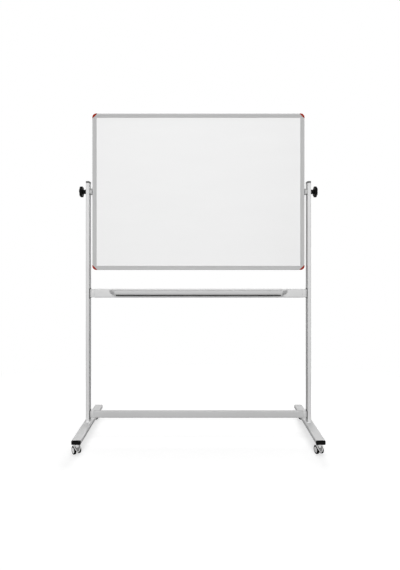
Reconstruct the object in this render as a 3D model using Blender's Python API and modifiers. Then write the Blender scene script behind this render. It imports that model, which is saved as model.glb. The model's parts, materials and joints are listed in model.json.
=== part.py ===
"""Rolling whiteboard: a flip-over board in a wheeled stand, in metres, +Z up, front towards -Y.

The origin is on the floor, midway between the posts and midway along the feet.
"""

import math

import bmesh
import bpy

# Fits
GAP = 0.0003                    # between pieces that touch
RUNNING_CLEARANCE = 0.0001      # on the radius of a pin that turns in a bore
UNION_OVERLAP = 0.001           # how far two halves of one piece reach into each other
CUT_MARGIN = 0.005              # how far a cutter passes the wall that it cuts

# Board
BOARD_WIDTH = 1.220
BOARD_HEIGHT = 0.900
PIVOT_HEIGHT = 1.402
CORE_THICKNESS = 0.014
SHEET_THICKNESS = 0.0004
WRITING_MARGIN = 0.001          # from the frame's lip to the flat of the writing area
ENAMEL_RISE = 0.0001            # how far the enamel stands above the sheet's bare edge

# Edge rails of the board
FRAME_FACE = 0.024
FRAME_DEPTH = 0.022
FRAME_WALL = 0.002
FRAME_CHAMBER = 0.006
FRAME_EDGE_RADIUS = 0.004

# Corner caps of the board
CORNER_LEG = 0.030              # along the board's edge, to the cap's slanted inner side
CORNER_RADIUS = 0.023
CORNER_PROUD = 0.0005
TENON_LENGTH = 0.020

# Pivots
POST_GAP = 0.0145               # clear width between the board's edge and a post
PIVOT_BLOCK_DIAMETER = 0.038
PIVOT_BLOCK_FLOOR = 0.0015
PIVOT_BLOCK_CHAMFER = 0.0015
SCREW_DIAMETER = 0.010
BUSH_WALL = 0.002
BUSH_FLANGE_DIAMETER = 0.032
BUSH_FLANGE_THICKNESS = 0.0017
WASHER_DIAMETER = 0.024
WASHER_THICKNESS = 0.0015

# Knobs
KNOB_DIAMETER = 0.063
KNOB_HEAD_THICKNESS = 0.0165
KNOB_LOBES = 6
KNOB_LOBE_DEPTH = 0.005
KNOB_EDGE_RADIUS = 0.004
KNOB_HUB_DIAMETER = 0.028
KNOB_HUB_LENGTH = 0.019
KNOB_SCREW_BITE = 0.008         # how far the screw reaches into the knob's head
KNOB_LEFT_TURN = math.radians(8.0)
KNOB_RIGHT_TURN = math.radians(31.0)

# Posts and feet
TUBE_WALL = 0.0015
POST_WIDTH = 0.020
POST_DEPTH = 0.050
POST_RADIUS = 0.005
POST_ABOVE_PIVOT = 0.048
POST_CAP_HEIGHT = 0.012
POST_CAP_PLUG = 0.020
FOOT_LENGTH = 0.520
FOOT_WIDTH = 0.050
FOOT_HEIGHT = 0.023
FOOT_RADIUS = 0.006
FOOT_CAP_THICKNESS = 0.004
FOOT_CAP_PLUG = 0.008

# Cross bars
BAR_DEPTH = 0.020
BAR_RADIUS = 0.004
TRAY_BAR_HEIGHT = 0.050
TRAY_BAR_CENTRE = 0.8175
TRAY_BAR_END = 0.0265           # from the bar's end to the post
BASE_BAR_HEIGHT = 0.040
BASE_BAR_CENTRE = 0.120
BASE_BAR_END = 0.0205
BAR_END_STEP = 0.001            # how much smaller an end plug is than its bar, on each side
BAR_END_PLUG = 0.035

# Pen tray
TRAY_BACK_LENGTH = 1.024
TRAY_FRONT_LENGTH = 0.940
TRAY_DEPTH = 0.076
TRAY_HEIGHT = 0.027
TRAY_BOTTOM = 0.811
TRAY_WALL = 0.0015
TRAY_CURVE = 0.018
TRIM_THICKNESS = 0.0025
TRIM_START = math.radians(-72.0)
TRIM_END = math.radians(-42.0)
TRIM_END_INSET = 0.009

# Casters
CASTER_RISE = 0.016             # from the top of a wheel to the foot
CASTER_INSET = 0.024            # from the foot's end to the swivel axis
CASTER_TRAIL = 0.010
WHEEL_DIAMETER = 0.042
WHEEL_WIDTH = 0.012
WHEEL_SPREAD = 0.014            # between the inner faces of a pair of wheels
WHEEL_SHOULDER = 0.002
WHEEL_RIM = 0.005
WHEEL_RECESS = 0.0015
AXLE_DIAMETER = 0.006
STEM_DIAMETER = 0.010
STEM_LENGTH_IN_FOOT = 0.012
STEM_COLLAR_DIAMETER = 0.016
STEM_COLLAR_THICKNESS = 0.002
STEM_PIN_DIAMETER = 0.008
STEM_PIN_LENGTH = 0.014
HOOD_SIDE_GAP = 0.0005
HOOD_WHEEL_GAP = 0.0012
HOOD_WALL = 0.002
HOOD_HALF_WIDTH = 0.0175
HOOD_TIP_HALF_WIDTH = 0.0035
HOOD_TOP_RADIUS = 0.012
HOOD_RIM_HEIGHT = 0.0055
HOOD_AXLE_RADIUS = 0.008
HOOD_BACK_ANGLE = math.radians(14.0)
HOOD_FRONT_ANGLE = math.radians(198.0)
FRONT_LEFT_HEADING = math.radians(128.0)
FRONT_RIGHT_HEADING = math.radians(104.0)
REAR_LEFT_HEADING = math.radians(172.0)

# Smoothness
CORNER_STEPS = 3
CURVE_STEPS = 5
HOOD_STEPS = 8
TURN_STEPS = 20
PIN_STEPS = 16
KNOB_POINTS_PER_LOBE = 6

# Worked-out sizes
POST_X = BOARD_WIDTH / 2 + POST_GAP + POST_WIDTH / 2
CASTER_HEIGHT = WHEEL_DIAMETER + CASTER_RISE
FOOT_TOP = CASTER_HEIGHT + FOOT_HEIGHT
POST_TOP = PIVOT_HEIGHT + POST_ABOVE_PIVOT
CHANNEL_FLOOR = 2 * FRAME_WALL + FRAME_CHAMBER
CHANNEL_HALF = CORE_THICKNESS / 2 + SHEET_THICKNESS + 2 * GAP
PANEL_WIDTH = BOARD_WIDTH - 2 * (CHANNEL_FLOOR + GAP)
PANEL_HEIGHT = BOARD_HEIGHT - 2 * (CHANNEL_FLOOR + GAP)
SCREW_RADIUS = SCREW_DIAMETER / 2
SCREW_BORE_RADIUS = SCREW_RADIUS + RUNNING_CLEARANCE
BUSH_RADIUS = SCREW_BORE_RADIUS + BUSH_WALL
KNOB_BASE = POST_WIDTH + 2 * GAP + WASHER_THICKNESS
WHEEL_RADIUS = WHEEL_DIAMETER / 2
AXLE_BORE_RADIUS = AXLE_DIAMETER / 2 + RUNNING_CLEARANCE
HOOD_TOP = CASTER_HEIGHT - 2 * GAP - STEM_COLLAR_THICKNESS
SIDES = (("left", -1), ("right", 1))
ENDS = (("front", -1), ("rear", 1))
QUARTER = math.pi / 2

# Colour, roughness and metallic value of each finish
FINISHES = {
    "silver_tube": ((0.62, 0.62, 0.62), 0.42, 0.35),
    "rail_aluminium": ((0.48, 0.48, 0.48), 0.38, 0.6),
    "tray_aluminium": ((0.60, 0.60, 0.60), 0.36, 0.5),
    "white_enamel": ((0.86, 0.86, 0.86), 0.18, 0.0),
    "honeycomb": ((0.58, 0.46, 0.32), 0.9, 0.0),
    "orange_plastic": ((0.62, 0.13, 0.05), 0.35, 0.0),
    "grey_plastic": ((0.33, 0.33, 0.34), 0.5, 0.0),
    "bar_end_metal": ((0.70, 0.70, 0.70), 0.4, 0.3),
    "black_plastic": ((0.015, 0.015, 0.015), 0.4, 0.0),
    "black_rubber": ((0.02, 0.02, 0.02), 0.75, 0.0),
    "bush_plastic": ((0.75, 0.74, 0.70), 0.5, 0.0),
    "bright_steel": ((0.66, 0.66, 0.66), 0.25, 0.9),
    "hood_grey": ((0.45, 0.45, 0.46), 0.4, 0.1),
    "wheel_black": ((0.03, 0.03, 0.03), 0.55, 0.0),
}


def clear_scene():
    for old in list(bpy.data.objects):
        bpy.data.objects.remove(old, do_unlink=True)


def new_collection(name):
    collection = bpy.data.collections.new(name)
    bpy.context.scene.collection.children.link(collection)
    return collection


clear_scene()
PARTS = new_collection("rolling_whiteboard")
CUTTERS = new_collection("cutters")


def new_material(name):
    colour, roughness, metallic = FINISHES[name]
    material = bpy.data.materials.new(name)
    material.use_nodes = True
    shader = material.node_tree.nodes["Principled BSDF"]
    shader.inputs["Base Color"].default_value = (*colour, 1.0)
    shader.inputs["Roughness"].default_value = roughness
    shader.inputs["Metallic"].default_value = metallic
    return material


MATERIALS = {name: new_material(name) for name in FINISHES}


def arc(centre, radius, start, end, steps=CURVE_STEPS):
    """Points on an arc, both ends included."""
    angles = [start + (end - start) * step / steps for step in range(steps + 1)]
    return [(centre[0] + radius * math.cos(a), centre[1] + radius * math.sin(a)) for a in angles]


def rounded_rectangle(width, height, radius):
    points = []
    for quarter, (across, up) in enumerate(((1, 1), (-1, 1), (-1, -1), (1, -1))):
        centre = (across * (width / 2 - radius), up * (height / 2 - radius))
        points += arc(centre, radius, quarter * QUARTER, (quarter + 1) * QUARTER, CORNER_STEPS)
    return points


def tube_outlines(width, height, radius):
    """The outside and the inside of a rounded flat tube."""
    inside = rounded_rectangle(width - 2 * TUBE_WALL, height - 2 * TUBE_WALL, radius - TUBE_WALL)
    return [rounded_rectangle(width, height, radius), inside]


def plug_outline(width, height, radius):
    """A plug that slips into a rounded flat tube."""
    slip = TUBE_WALL + GAP
    return rounded_rectangle(width - 2 * slip, height - 2 * slip, radius - slip)


def closed_mesh(mesh):
    """Weld the loose caps of an evaluated shape and point its faces outwards."""
    work = bmesh.new()
    work.from_mesh(mesh)
    bmesh.ops.remove_doubles(work, verts=work.verts, dist=0.000001)
    bmesh.ops.recalc_face_normals(work, faces=work.faces)
    work.to_mesh(mesh)
    work.free()
    return mesh


def evaluated_mesh(source):
    depsgraph = bpy.context.evaluated_depsgraph_get()
    return bpy.data.meshes.new_from_object(source.evaluated_get(depsgraph))


def extruded(name, outlines, length):
    """A flat outline, with any holes in it, made into a bar along its own Z, centred on it."""
    curve = bpy.data.curves.new(name, "CURVE")
    curve.dimensions = "2D"
    curve.fill_mode = "BOTH"
    curve.extrude = length / 2
    for outline in outlines:
        spline = curve.splines.new("POLY")
        spline.points.add(len(outline) - 1)
        for point, (x, y) in zip(spline.points, outline):
            point.co = (x, y, 0.0, 1.0)
        spline.use_cyclic_u = True
    flat = bpy.data.objects.new(name, curve)
    PARTS.objects.link(flat)
    mesh = closed_mesh(evaluated_mesh(flat))
    bpy.data.objects.remove(flat)
    bpy.data.curves.remove(curve)
    solid = bpy.data.objects.new(name, mesh)
    PARTS.objects.link(solid)
    return solid


def block(name, size):
    """A box centred on its own origin."""
    work = bmesh.new()
    bmesh.ops.create_cube(work, size=1.0)
    bmesh.ops.scale(work, vec=size, verts=work.verts)
    mesh = bpy.data.meshes.new(name)
    work.to_mesh(mesh)
    work.free()
    solid = bpy.data.objects.new(name, mesh)
    PARTS.objects.link(solid)
    return solid


def pin(name, radius, length, steps=PIN_STEPS):
    """A round bar along its own Z, centred on it."""
    work = bmesh.new()
    bmesh.ops.create_cone(
        work, cap_ends=True, segments=steps, radius1=radius, radius2=radius, depth=length
    )
    mesh = bpy.data.meshes.new(name)
    work.to_mesh(mesh)
    work.free()
    solid = bpy.data.objects.new(name, mesh)
    PARTS.objects.link(solid)
    return solid


def turned(name, profile, closed=False, steps=TURN_STEPS):
    """A profile of (radius, height) points, listed down its outer side, turned about Z."""
    mesh = bpy.data.meshes.new(name)
    edges = [(i, i + 1) for i in range(len(profile) - 1)]
    if closed:
        edges.append((len(profile) - 1, 0))
    mesh.from_pydata([(radius, 0.0, height) for radius, height in profile], edges, [])
    solid = bpy.data.objects.new(name, mesh)
    PARTS.objects.link(solid)
    screw = solid.modifiers.new("Turn", "SCREW")
    screw.steps = steps
    screw.render_steps = steps
    screw.use_merge_vertices = True
    screw.merge_threshold = 0.00001
    return solid


def boolean(target, tool, operation):
    """Cut a piece with a tool, or join the tool to it, and put the tool away."""
    modifier = target.modifiers.new(operation.title(), "BOOLEAN")
    modifier.operation = operation
    modifier.solver = "EXACT"
    modifier.object = tool
    for collection in list(tool.users_collection):
        collection.objects.unlink(tool)
    CUTTERS.objects.link(tool)
    tool.hide_render = True
    tool.display_type = "WIRE"


def place(solid, location=(0.0, 0.0, 0.0), rotation=(0.0, 0.0, 0.0), parent=None):
    solid.location = location
    solid.rotation_euler = rotation
    solid.parent = parent
    return solid


def finish(solid, finish_name, smooth=False):
    """Give a piece its own copy of a finish, and smooth shading where it is round."""
    material = MATERIALS[finish_name].copy()
    material.name = solid.name
    solid.data.materials.clear()
    solid.data.materials.append(material)
    if smooth:
        solid.data.shade_smooth()
        solid.data.set_sharp_from_angle(angle=math.radians(35.0))
    return solid


def pivot(name, location, rotation=(0.0, 0.0, 0.0), parent=None):
    """An empty on a joint's axis."""
    empty = bpy.data.objects.new(name, None)
    PARTS.objects.link(empty)
    return place(empty, location, rotation, parent)


def outward(side):
    """The turn that lays a piece's own Z along X, away from the middle on that side."""
    return (QUARTER, 0.0, side * QUARTER)


ALONG_X = (QUARTER, 0.0, QUARTER)
ALONG_Y = (QUARTER, 0.0, 0.0)


def make_feet():
    tube_length = FOOT_LENGTH - 2 * (FOOT_CAP_THICKNESS + GAP)
    centre_height = CASTER_HEIGHT + FOOT_HEIGHT / 2
    stem_y = FOOT_LENGTH / 2 - CASTER_INSET
    for side_name, side in SIDES:
        section = tube_outlines(FOOT_WIDTH, FOOT_HEIGHT, FOOT_RADIUS)
        foot = extruded(f"foot_{side_name}", section, tube_length)
        place(foot, (side * POST_X, 0.0, centre_height), ALONG_Y)
        for end_name, end in ENDS:
            hole_depth = 2 * (TUBE_WALL + CUT_MARGIN)
            hole = pin(f"cut_stem_{end_name}_{side_name}", STEM_DIAMETER / 2 + GAP, hole_depth)
            place(hole, (side * POST_X, end * stem_y, CASTER_HEIGHT))
            boolean(foot, hole, "DIFFERENCE")
            make_foot_cap(f"foot_cap_{end_name}_{side_name}", side, end, centre_height)
        finish(foot, "silver_tube")


def make_foot_cap(name, side, end, centre_height):
    cap = extruded(name, [rounded_rectangle(FOOT_WIDTH, FOOT_HEIGHT, FOOT_RADIUS)], FOOT_CAP_THICKNESS)
    cap_y = end * (FOOT_LENGTH - FOOT_CAP_THICKNESS) / 2
    place(cap, (side * POST_X, cap_y, centre_height), ALONG_Y)
    plug_length = FOOT_CAP_PLUG + UNION_OVERLAP
    plug = extruded(f"join_{name}", [plug_outline(FOOT_WIDTH, FOOT_HEIGHT, FOOT_RADIUS)], plug_length)
    plug_y = end * (FOOT_LENGTH / 2 - FOOT_CAP_THICKNESS + UNION_OVERLAP - plug_length / 2)
    place(plug, (side * POST_X, plug_y, centre_height), ALONG_Y)
    boolean(cap, plug, "UNION")
    finish(cap, "black_plastic")


def make_posts():
    bottom = FOOT_TOP + GAP
    for side_name, side in SIDES:
        length = POST_TOP - bottom
        post = extruded(f"post_{side_name}", tube_outlines(POST_WIDTH, POST_DEPTH, POST_RADIUS), length)
        place(post, (side * POST_X, 0.0, bottom + length / 2))
        hole = pin(f"cut_pivot_{side_name}", BUSH_RADIUS + GAP, POST_WIDTH + 2 * CUT_MARGIN, TURN_STEPS)
        place(hole, (side * POST_X, 0.0, PIVOT_HEIGHT), outward(side))
        boolean(post, hole, "DIFFERENCE")
        finish(post, "silver_tube")
        make_post_cap(f"post_cap_{side_name}", side)


def make_post_cap(name, side):
    head_height = POST_CAP_HEIGHT - GAP
    cap = extruded(name, [rounded_rectangle(POST_WIDTH, POST_DEPTH, POST_RADIUS)], head_height)
    place(cap, (side * POST_X, 0.0, POST_TOP + GAP + head_height / 2))
    plug_length = POST_CAP_PLUG + UNION_OVERLAP
    plug = extruded(f"join_{name}", [plug_outline(POST_WIDTH, POST_DEPTH, POST_RADIUS)], plug_length)
    place(plug, (side * POST_X, 0.0, POST_TOP + GAP + UNION_OVERLAP - plug_length / 2))
    boolean(cap, plug, "UNION")
    finish(cap, "grey_plastic")


def make_cross_bar(name, height, centre_height, end_length):
    post_face = POST_X - POST_WIDTH / 2
    half_length = post_face - end_length
    bar = extruded(name, tube_outlines(BAR_DEPTH, height, BAR_RADIUS), 2 * half_length)
    place(bar, (0.0, 0.0, centre_height), ALONG_X)
    finish(bar, "silver_tube")
    for side_name, side in SIDES:
        head_length = end_length - 2 * GAP
        head_outline = rounded_rectangle(
            BAR_DEPTH - 2 * BAR_END_STEP, height - 2 * BAR_END_STEP, BAR_RADIUS - BAR_END_STEP
        )
        head = extruded(f"{name}_end_{side_name}", [head_outline], head_length)
        place(head, (side * (half_length + GAP + head_length / 2), 0.0, centre_height), ALONG_X)
        plug_length = BAR_END_PLUG + GAP + UNION_OVERLAP
        section = plug_outline(BAR_DEPTH, height, BAR_RADIUS)
        plug = extruded(f"join_{name}_{side_name}", [section], plug_length)
        plug_x = half_length + GAP + UNION_OVERLAP - plug_length / 2
        place(plug, (side * plug_x, 0.0, centre_height), ALONG_X)
        boolean(head, plug, "UNION")
        finish(head, "bar_end_metal")


def tray_plan(wall):
    """The trough's outline from above in (X, distance from its back), drawn in by a wall."""
    slope = (TRAY_BACK_LENGTH - TRAY_FRONT_LENGTH) / 2 / TRAY_DEPTH
    inset = wall * math.hypot(1.0, slope)
    back_half = TRAY_BACK_LENGTH / 2 - inset - slope * wall
    front_half = TRAY_FRONT_LENGTH / 2 - inset + slope * wall
    front = TRAY_DEPTH - wall
    return [(-back_half, -wall), (-front_half, -front), (front_half, -front), (back_half, -wall)]


def tray_solid(name, wall):
    """The trough's outside, or with a wall its hollow: its front and ends curve in to the floor."""
    top = TRAY_HEIGHT + (CUT_MARGIN if wall else 0.0)
    solid = extruded(name, [tray_plan(wall)], top - wall)
    work = bmesh.new()
    work.from_mesh(solid.data)
    lowest = min(vertex.co.z for vertex in work.verts)
    furthest = max(vertex.co.y for vertex in work.verts)
    rounded = []
    for edge in work.edges:
        on_floor = all(vertex.co.z < lowest + GAP for vertex in edge.verts)
        on_back = all(vertex.co.y > furthest - GAP for vertex in edge.verts)
        if on_floor and len(edge.link_faces) == 2 and not on_back:
            if edge.calc_face_angle() > QUARTER / 2:
                rounded.append(edge)
    bmesh.ops.bevel(
        work, geom=rounded, offset=TRAY_CURVE - wall, segments=CURVE_STEPS, profile=0.5, affect="EDGES"
    )
    work.to_mesh(solid.data)
    work.free()
    place(solid, (0.0, -(BAR_DEPTH / 2 + GAP), TRAY_BOTTOM + (wall + top) / 2))
    return solid


def make_pen_tray():
    tray = tray_solid("pen_tray", 0.0)
    hollow = tray_solid("cut_tray_hollow", TRAY_WALL)
    boolean(tray, hollow, "DIFFERENCE")
    finish(tray, "tray_aluminium")

    inner = TRAY_CURVE + GAP
    curve_centre = (-(TRAY_DEPTH - TRAY_CURVE), TRAY_CURVE)
    inside = arc((0.0, 0.0), inner, TRIM_START, TRIM_END)
    outside = arc((0.0, 0.0), inner + TRIM_THICKNESS, TRIM_END, TRIM_START)
    outline = [(curve_centre[0] - across, curve_centre[1] + up) for across, up in inside + outside]
    trim = extruded("tray_edge_trim", [outline], TRAY_FRONT_LENGTH - 2 * TRIM_END_INSET)
    place(trim, (0.0, -(BAR_DEPTH / 2 + GAP), TRAY_BOTTOM), ALONG_X)
    finish(trim, "black_rubber")


def make_panel(board):
    core = block("board_core", (PANEL_WIDTH, CORE_THICKNESS, PANEL_HEIGHT))
    place(core, parent=board)
    finish(core, "honeycomb")
    writing_inset = FRAME_FACE - CHANNEL_FLOOR - GAP + WRITING_MARGIN
    for name, facing in (("writing_sheet_front", -1), ("writing_sheet_back", 1)):
        sheet = block(name, (PANEL_WIDTH, SHEET_THICKNESS, PANEL_HEIGHT))
        work = bmesh.new()
        work.from_mesh(sheet.data)
        work.normal_update()
        face = max(work.faces, key=lambda candidate: facing * candidate.calc_center_median().y)
        bmesh.ops.inset_individual(
            work, faces=[face], thickness=writing_inset, depth=ENAMEL_RISE, use_even_offset=True
        )
        work.to_mesh(sheet.data)
        work.free()
        sheet_y = facing * (CORE_THICKNESS / 2 + GAP + SHEET_THICKNESS / 2)
        place(sheet, (0.0, sheet_y, 0.0), parent=board)
        finish(sheet, "white_enamel")


def rail_section():
    """A rail's outline and its chamber in (inwards from the board's edge, depth)."""
    half = FRAME_DEPTH / 2
    radius = FRAME_EDGE_RADIUS
    back_edge = arc((radius, half - radius), radius, 2 * QUARTER, QUARTER, CORNER_STEPS)
    front_edge = arc((radius, radius - half), radius, 3 * QUARTER, 2 * QUARTER, CORNER_STEPS)
    channel = [
        (FRAME_FACE, half),
        (FRAME_FACE, CHANNEL_HALF),
        (CHANNEL_FLOOR, CHANNEL_HALF),
        (CHANNEL_FLOOR, -CHANNEL_HALF),
        (FRAME_FACE, -CHANNEL_HALF),
        (FRAME_FACE, -half),
    ]
    chamber_half = half - FRAME_WALL
    chamber_far = FRAME_WALL + FRAME_CHAMBER
    chamber = [
        (FRAME_WALL, -chamber_half),
        (chamber_far, -chamber_half),
        (chamber_far, chamber_half),
        (FRAME_WALL, chamber_half),
    ]
    return front_edge + back_edge + channel, chamber


def mitre_outline():
    """What a rail loses at its end, in (along the rail, inwards) from the board's corner.

    The rails meet on a mitre, whose outer tip makes room for the corner cap.
    """
    mitre = GAP / math.sqrt(2.0)
    slant = CORNER_LEG + GAP * math.sqrt(2.0)
    deep = FRAME_FACE + CUT_MARGIN
    return [
        (-CUT_MARGIN, -CUT_MARGIN),
        (slant + CUT_MARGIN, -CUT_MARGIN),
        ((slant + mitre) / 2, (slant - mitre) / 2),
        (deep + mitre, deep),
        (-CUT_MARGIN, deep),
    ]


def cut_mitre(rail, name, outline, side, up, board):
    corner = (side * BOARD_WIDTH / 2, up * BOARD_HEIGHT / 2)
    lost = [(corner[0] - side * across, corner[1] - up * down) for across, down in outline]
    cutter = extruded(name, [lost], FRAME_DEPTH + 2 * CUT_MARGIN)
    place(cutter, (0.0, 0.0, 0.0), ALONG_Y, board)
    boolean(rail, cutter, "DIFFERENCE")


def make_rails(board):
    outline, chamber = rail_section()
    flat_end = mitre_outline()
    tall_end = [(inwards, along) for along, inwards in flat_end]
    for name, up in (("frame_top", 1), ("frame_bottom", -1)):
        splines = [[(depth, -up * inwards) for inwards, depth in loop] for loop in (outline, chamber)]
        rail = extruded(name, splines, BOARD_WIDTH)
        place(rail, (0.0, 0.0, up * BOARD_HEIGHT / 2), ALONG_X, board)
        for side_name, side in SIDES:
            cut_mitre(rail, f"cut_{name}_{side_name}", flat_end, side, up, board)
        finish(rail, "rail_aluminium")
    for side_name, side in SIDES:
        splines = [[(-side * inwards, depth) for inwards, depth in loop] for loop in (outline, chamber)]
        rail = extruded(f"frame_{side_name}", splines, BOARD_HEIGHT)
        place(rail, (side * BOARD_WIDTH / 2, 0.0, 0.0), parent=board)
        for up_name, up in (("top", 1), ("bottom", -1)):
            cut_mitre(rail, f"cut_frame_{side_name}_{up_name}", tall_end, side, up, board)
        finish(rail, "rail_aluminium")


def make_corner_cap(name, side, up, board):
    corner = (side * BOARD_WIDTH / 2, up * BOARD_HEIGHT / 2)
    rounded = arc((CORNER_RADIUS, CORNER_RADIUS), CORNER_RADIUS, 2 * QUARTER, 3 * QUARTER)
    slanted = [(CORNER_LEG, 0.0), (0.0, CORNER_LEG)]
    outline = [(corner[0] - side * across, corner[1] - up * along) for across, along in rounded + slanted]
    cap = extruded(name, [outline], FRAME_DEPTH + 2 * CORNER_PROUD)
    place(cap, (0.0, 0.0, 0.0), ALONG_Y, board)

    reach = CORNER_LEG + CUT_MARGIN
    slot = block(f"cut_slot_{name}", (reach, 2 * CHANNEL_HALF, reach))
    slot_offset = CHANNEL_FLOOR + reach / 2
    place(slot, (corner[0] - side * slot_offset, 0.0, corner[1] - up * slot_offset), parent=board)
    boolean(cap, slot, "DIFFERENCE")

    tenon_length = TENON_LENGTH + FRAME_WALL + FRAME_CHAMBER + UNION_OVERLAP
    tenon_thickness = FRAME_CHAMBER - 2 * GAP
    tenon_depth = FRAME_DEPTH - 2 * FRAME_WALL - 2 * GAP
    inset = FRAME_WALL + FRAME_CHAMBER / 2
    middle = CORNER_LEG + TENON_LENGTH - tenon_length / 2
    flat_tenon = block(f"join_flat_{name}", (tenon_length, tenon_depth, tenon_thickness))
    place(flat_tenon, (corner[0] - side * middle, 0.0, corner[1] - up * inset), parent=board)
    boolean(cap, flat_tenon, "UNION")
    tall_tenon = block(f"join_tall_{name}", (tenon_thickness, tenon_depth, tenon_length))
    place(tall_tenon, (corner[0] - side * inset, 0.0, corner[1] - up * middle), parent=board)
    boolean(cap, tall_tenon, "UNION")
    finish(cap, "orange_plastic")


def make_board():
    board = pivot("board_pivot", (0.0, 0.0, PIVOT_HEIGHT))
    make_panel(board)
    make_rails(board)
    for up_name, up in (("top", 1), ("bottom", -1)):
        for side_name, side in SIDES:
            make_corner_cap(f"corner_cap_{up_name}_{side_name}", side, up, board)
    block_end = POST_GAP - 2 * GAP - BUSH_FLANGE_THICKNESS
    floor = GAP + PIVOT_BLOCK_FLOOR
    radius = PIVOT_BLOCK_DIAMETER / 2
    profile = [
        (0.0, floor),
        (SCREW_BORE_RADIUS, floor),
        (SCREW_BORE_RADIUS, block_end),
        (radius - PIVOT_BLOCK_CHAMFER, block_end),
        (radius, block_end - PIVOT_BLOCK_CHAMFER),
        (radius, GAP),
        (0.0, GAP),
    ]
    for side_name, side in SIDES:
        pivot_block = turned(f"pivot_block_{side_name}", profile)
        place(pivot_block, (side * BOARD_WIDTH / 2, 0.0, 0.0), outward(side), board)
        finish(pivot_block, "bright_steel", smooth=True)


def make_pivot_hardware():
    bush_profile = [
        (BUSH_RADIUS, POST_WIDTH - GAP),
        (BUSH_RADIUS, -GAP),
        (BUSH_FLANGE_DIAMETER / 2, -GAP),
        (BUSH_FLANGE_DIAMETER / 2, -GAP - BUSH_FLANGE_THICKNESS),
        (SCREW_BORE_RADIUS, -GAP - BUSH_FLANGE_THICKNESS),
        (SCREW_BORE_RADIUS, POST_WIDTH - GAP),
    ]
    washer_base = POST_WIDTH + GAP
    washer_profile = [
        (WASHER_DIAMETER / 2, washer_base + WASHER_THICKNESS),
        (WASHER_DIAMETER / 2, washer_base),
        (SCREW_RADIUS + GAP, washer_base),
        (SCREW_RADIUS + GAP, washer_base + WASHER_THICKNESS),
    ]
    for side_name, side in SIDES:
        post_face = (side * (POST_X - POST_WIDTH / 2), 0.0, PIVOT_HEIGHT)
        bush = turned(f"pivot_bush_{side_name}", bush_profile, closed=True)
        place(bush, post_face, outward(side))
        finish(bush, "bush_plastic", smooth=True)
        washer = turned(f"knob_washer_{side_name}", washer_profile, closed=True)
        place(washer, post_face, outward(side))
        finish(washer, "bright_steel", smooth=True)


def knob_outline():
    middle = (KNOB_DIAMETER - KNOB_LOBE_DEPTH) / 2
    swing = KNOB_LOBE_DEPTH / 2
    count = KNOB_LOBES * KNOB_POINTS_PER_LOBE
    points = []
    for step in range(count):
        angle = 2 * math.pi * step / count
        radius = middle + swing * math.cos(KNOB_LOBES * angle)
        points.append((radius * math.cos(angle), radius * math.sin(angle)))
    return points


def make_knob(side_name, side, turn):
    """A star knob on its screw, in a frame whose Z runs outwards from the post's inner face."""
    post_face = (side * (POST_X - POST_WIDTH / 2), 0.0, PIVOT_HEIGHT)
    axis = pivot(f"knob_pivot_{side_name}", post_face, outward(side))
    head_base = KNOB_BASE + KNOB_HUB_LENGTH
    knob = extruded(f"knob_{side_name}", [knob_outline()], KNOB_HEAD_THICKNESS)
    place(knob, (0.0, 0.0, head_base + KNOB_HEAD_THICKNESS / 2), (0.0, 0.0, turn), axis)
    rim = knob.modifiers.new("Rim", "BEVEL")
    rim.width = KNOB_EDGE_RADIUS
    rim.segments = 2
    rim.limit_method = "ANGLE"
    rim.angle_limit = math.radians(50.0)
    hub_length = KNOB_HUB_LENGTH + UNION_OVERLAP
    hub = pin(f"join_hub_{side_name}", KNOB_HUB_DIAMETER / 2, hub_length, TURN_STEPS)
    place(hub, (0.0, 0.0, KNOB_BASE + hub_length / 2), parent=axis)
    boolean(knob, hub, "UNION")
    screw_end = head_base + KNOB_SCREW_BITE
    bore_length = screw_end + GAP - KNOB_BASE + CUT_MARGIN
    bore = pin(f"cut_knob_{side_name}", SCREW_RADIUS + GAP, bore_length)
    place(bore, (0.0, 0.0, screw_end + GAP - bore_length / 2), parent=axis)
    boolean(knob, bore, "DIFFERENCE")
    finish(knob, "black_plastic")

    screw_start = -POST_GAP + 2 * GAP + PIVOT_BLOCK_FLOOR
    screw = pin(f"knob_screw_{side_name}", SCREW_RADIUS, screw_end - screw_start, TURN_STEPS)
    place(screw, (0.0, 0.0, (screw_start + screw_end) / 2), parent=axis)
    finish(screw, "bright_steel", smooth=True)


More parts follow.
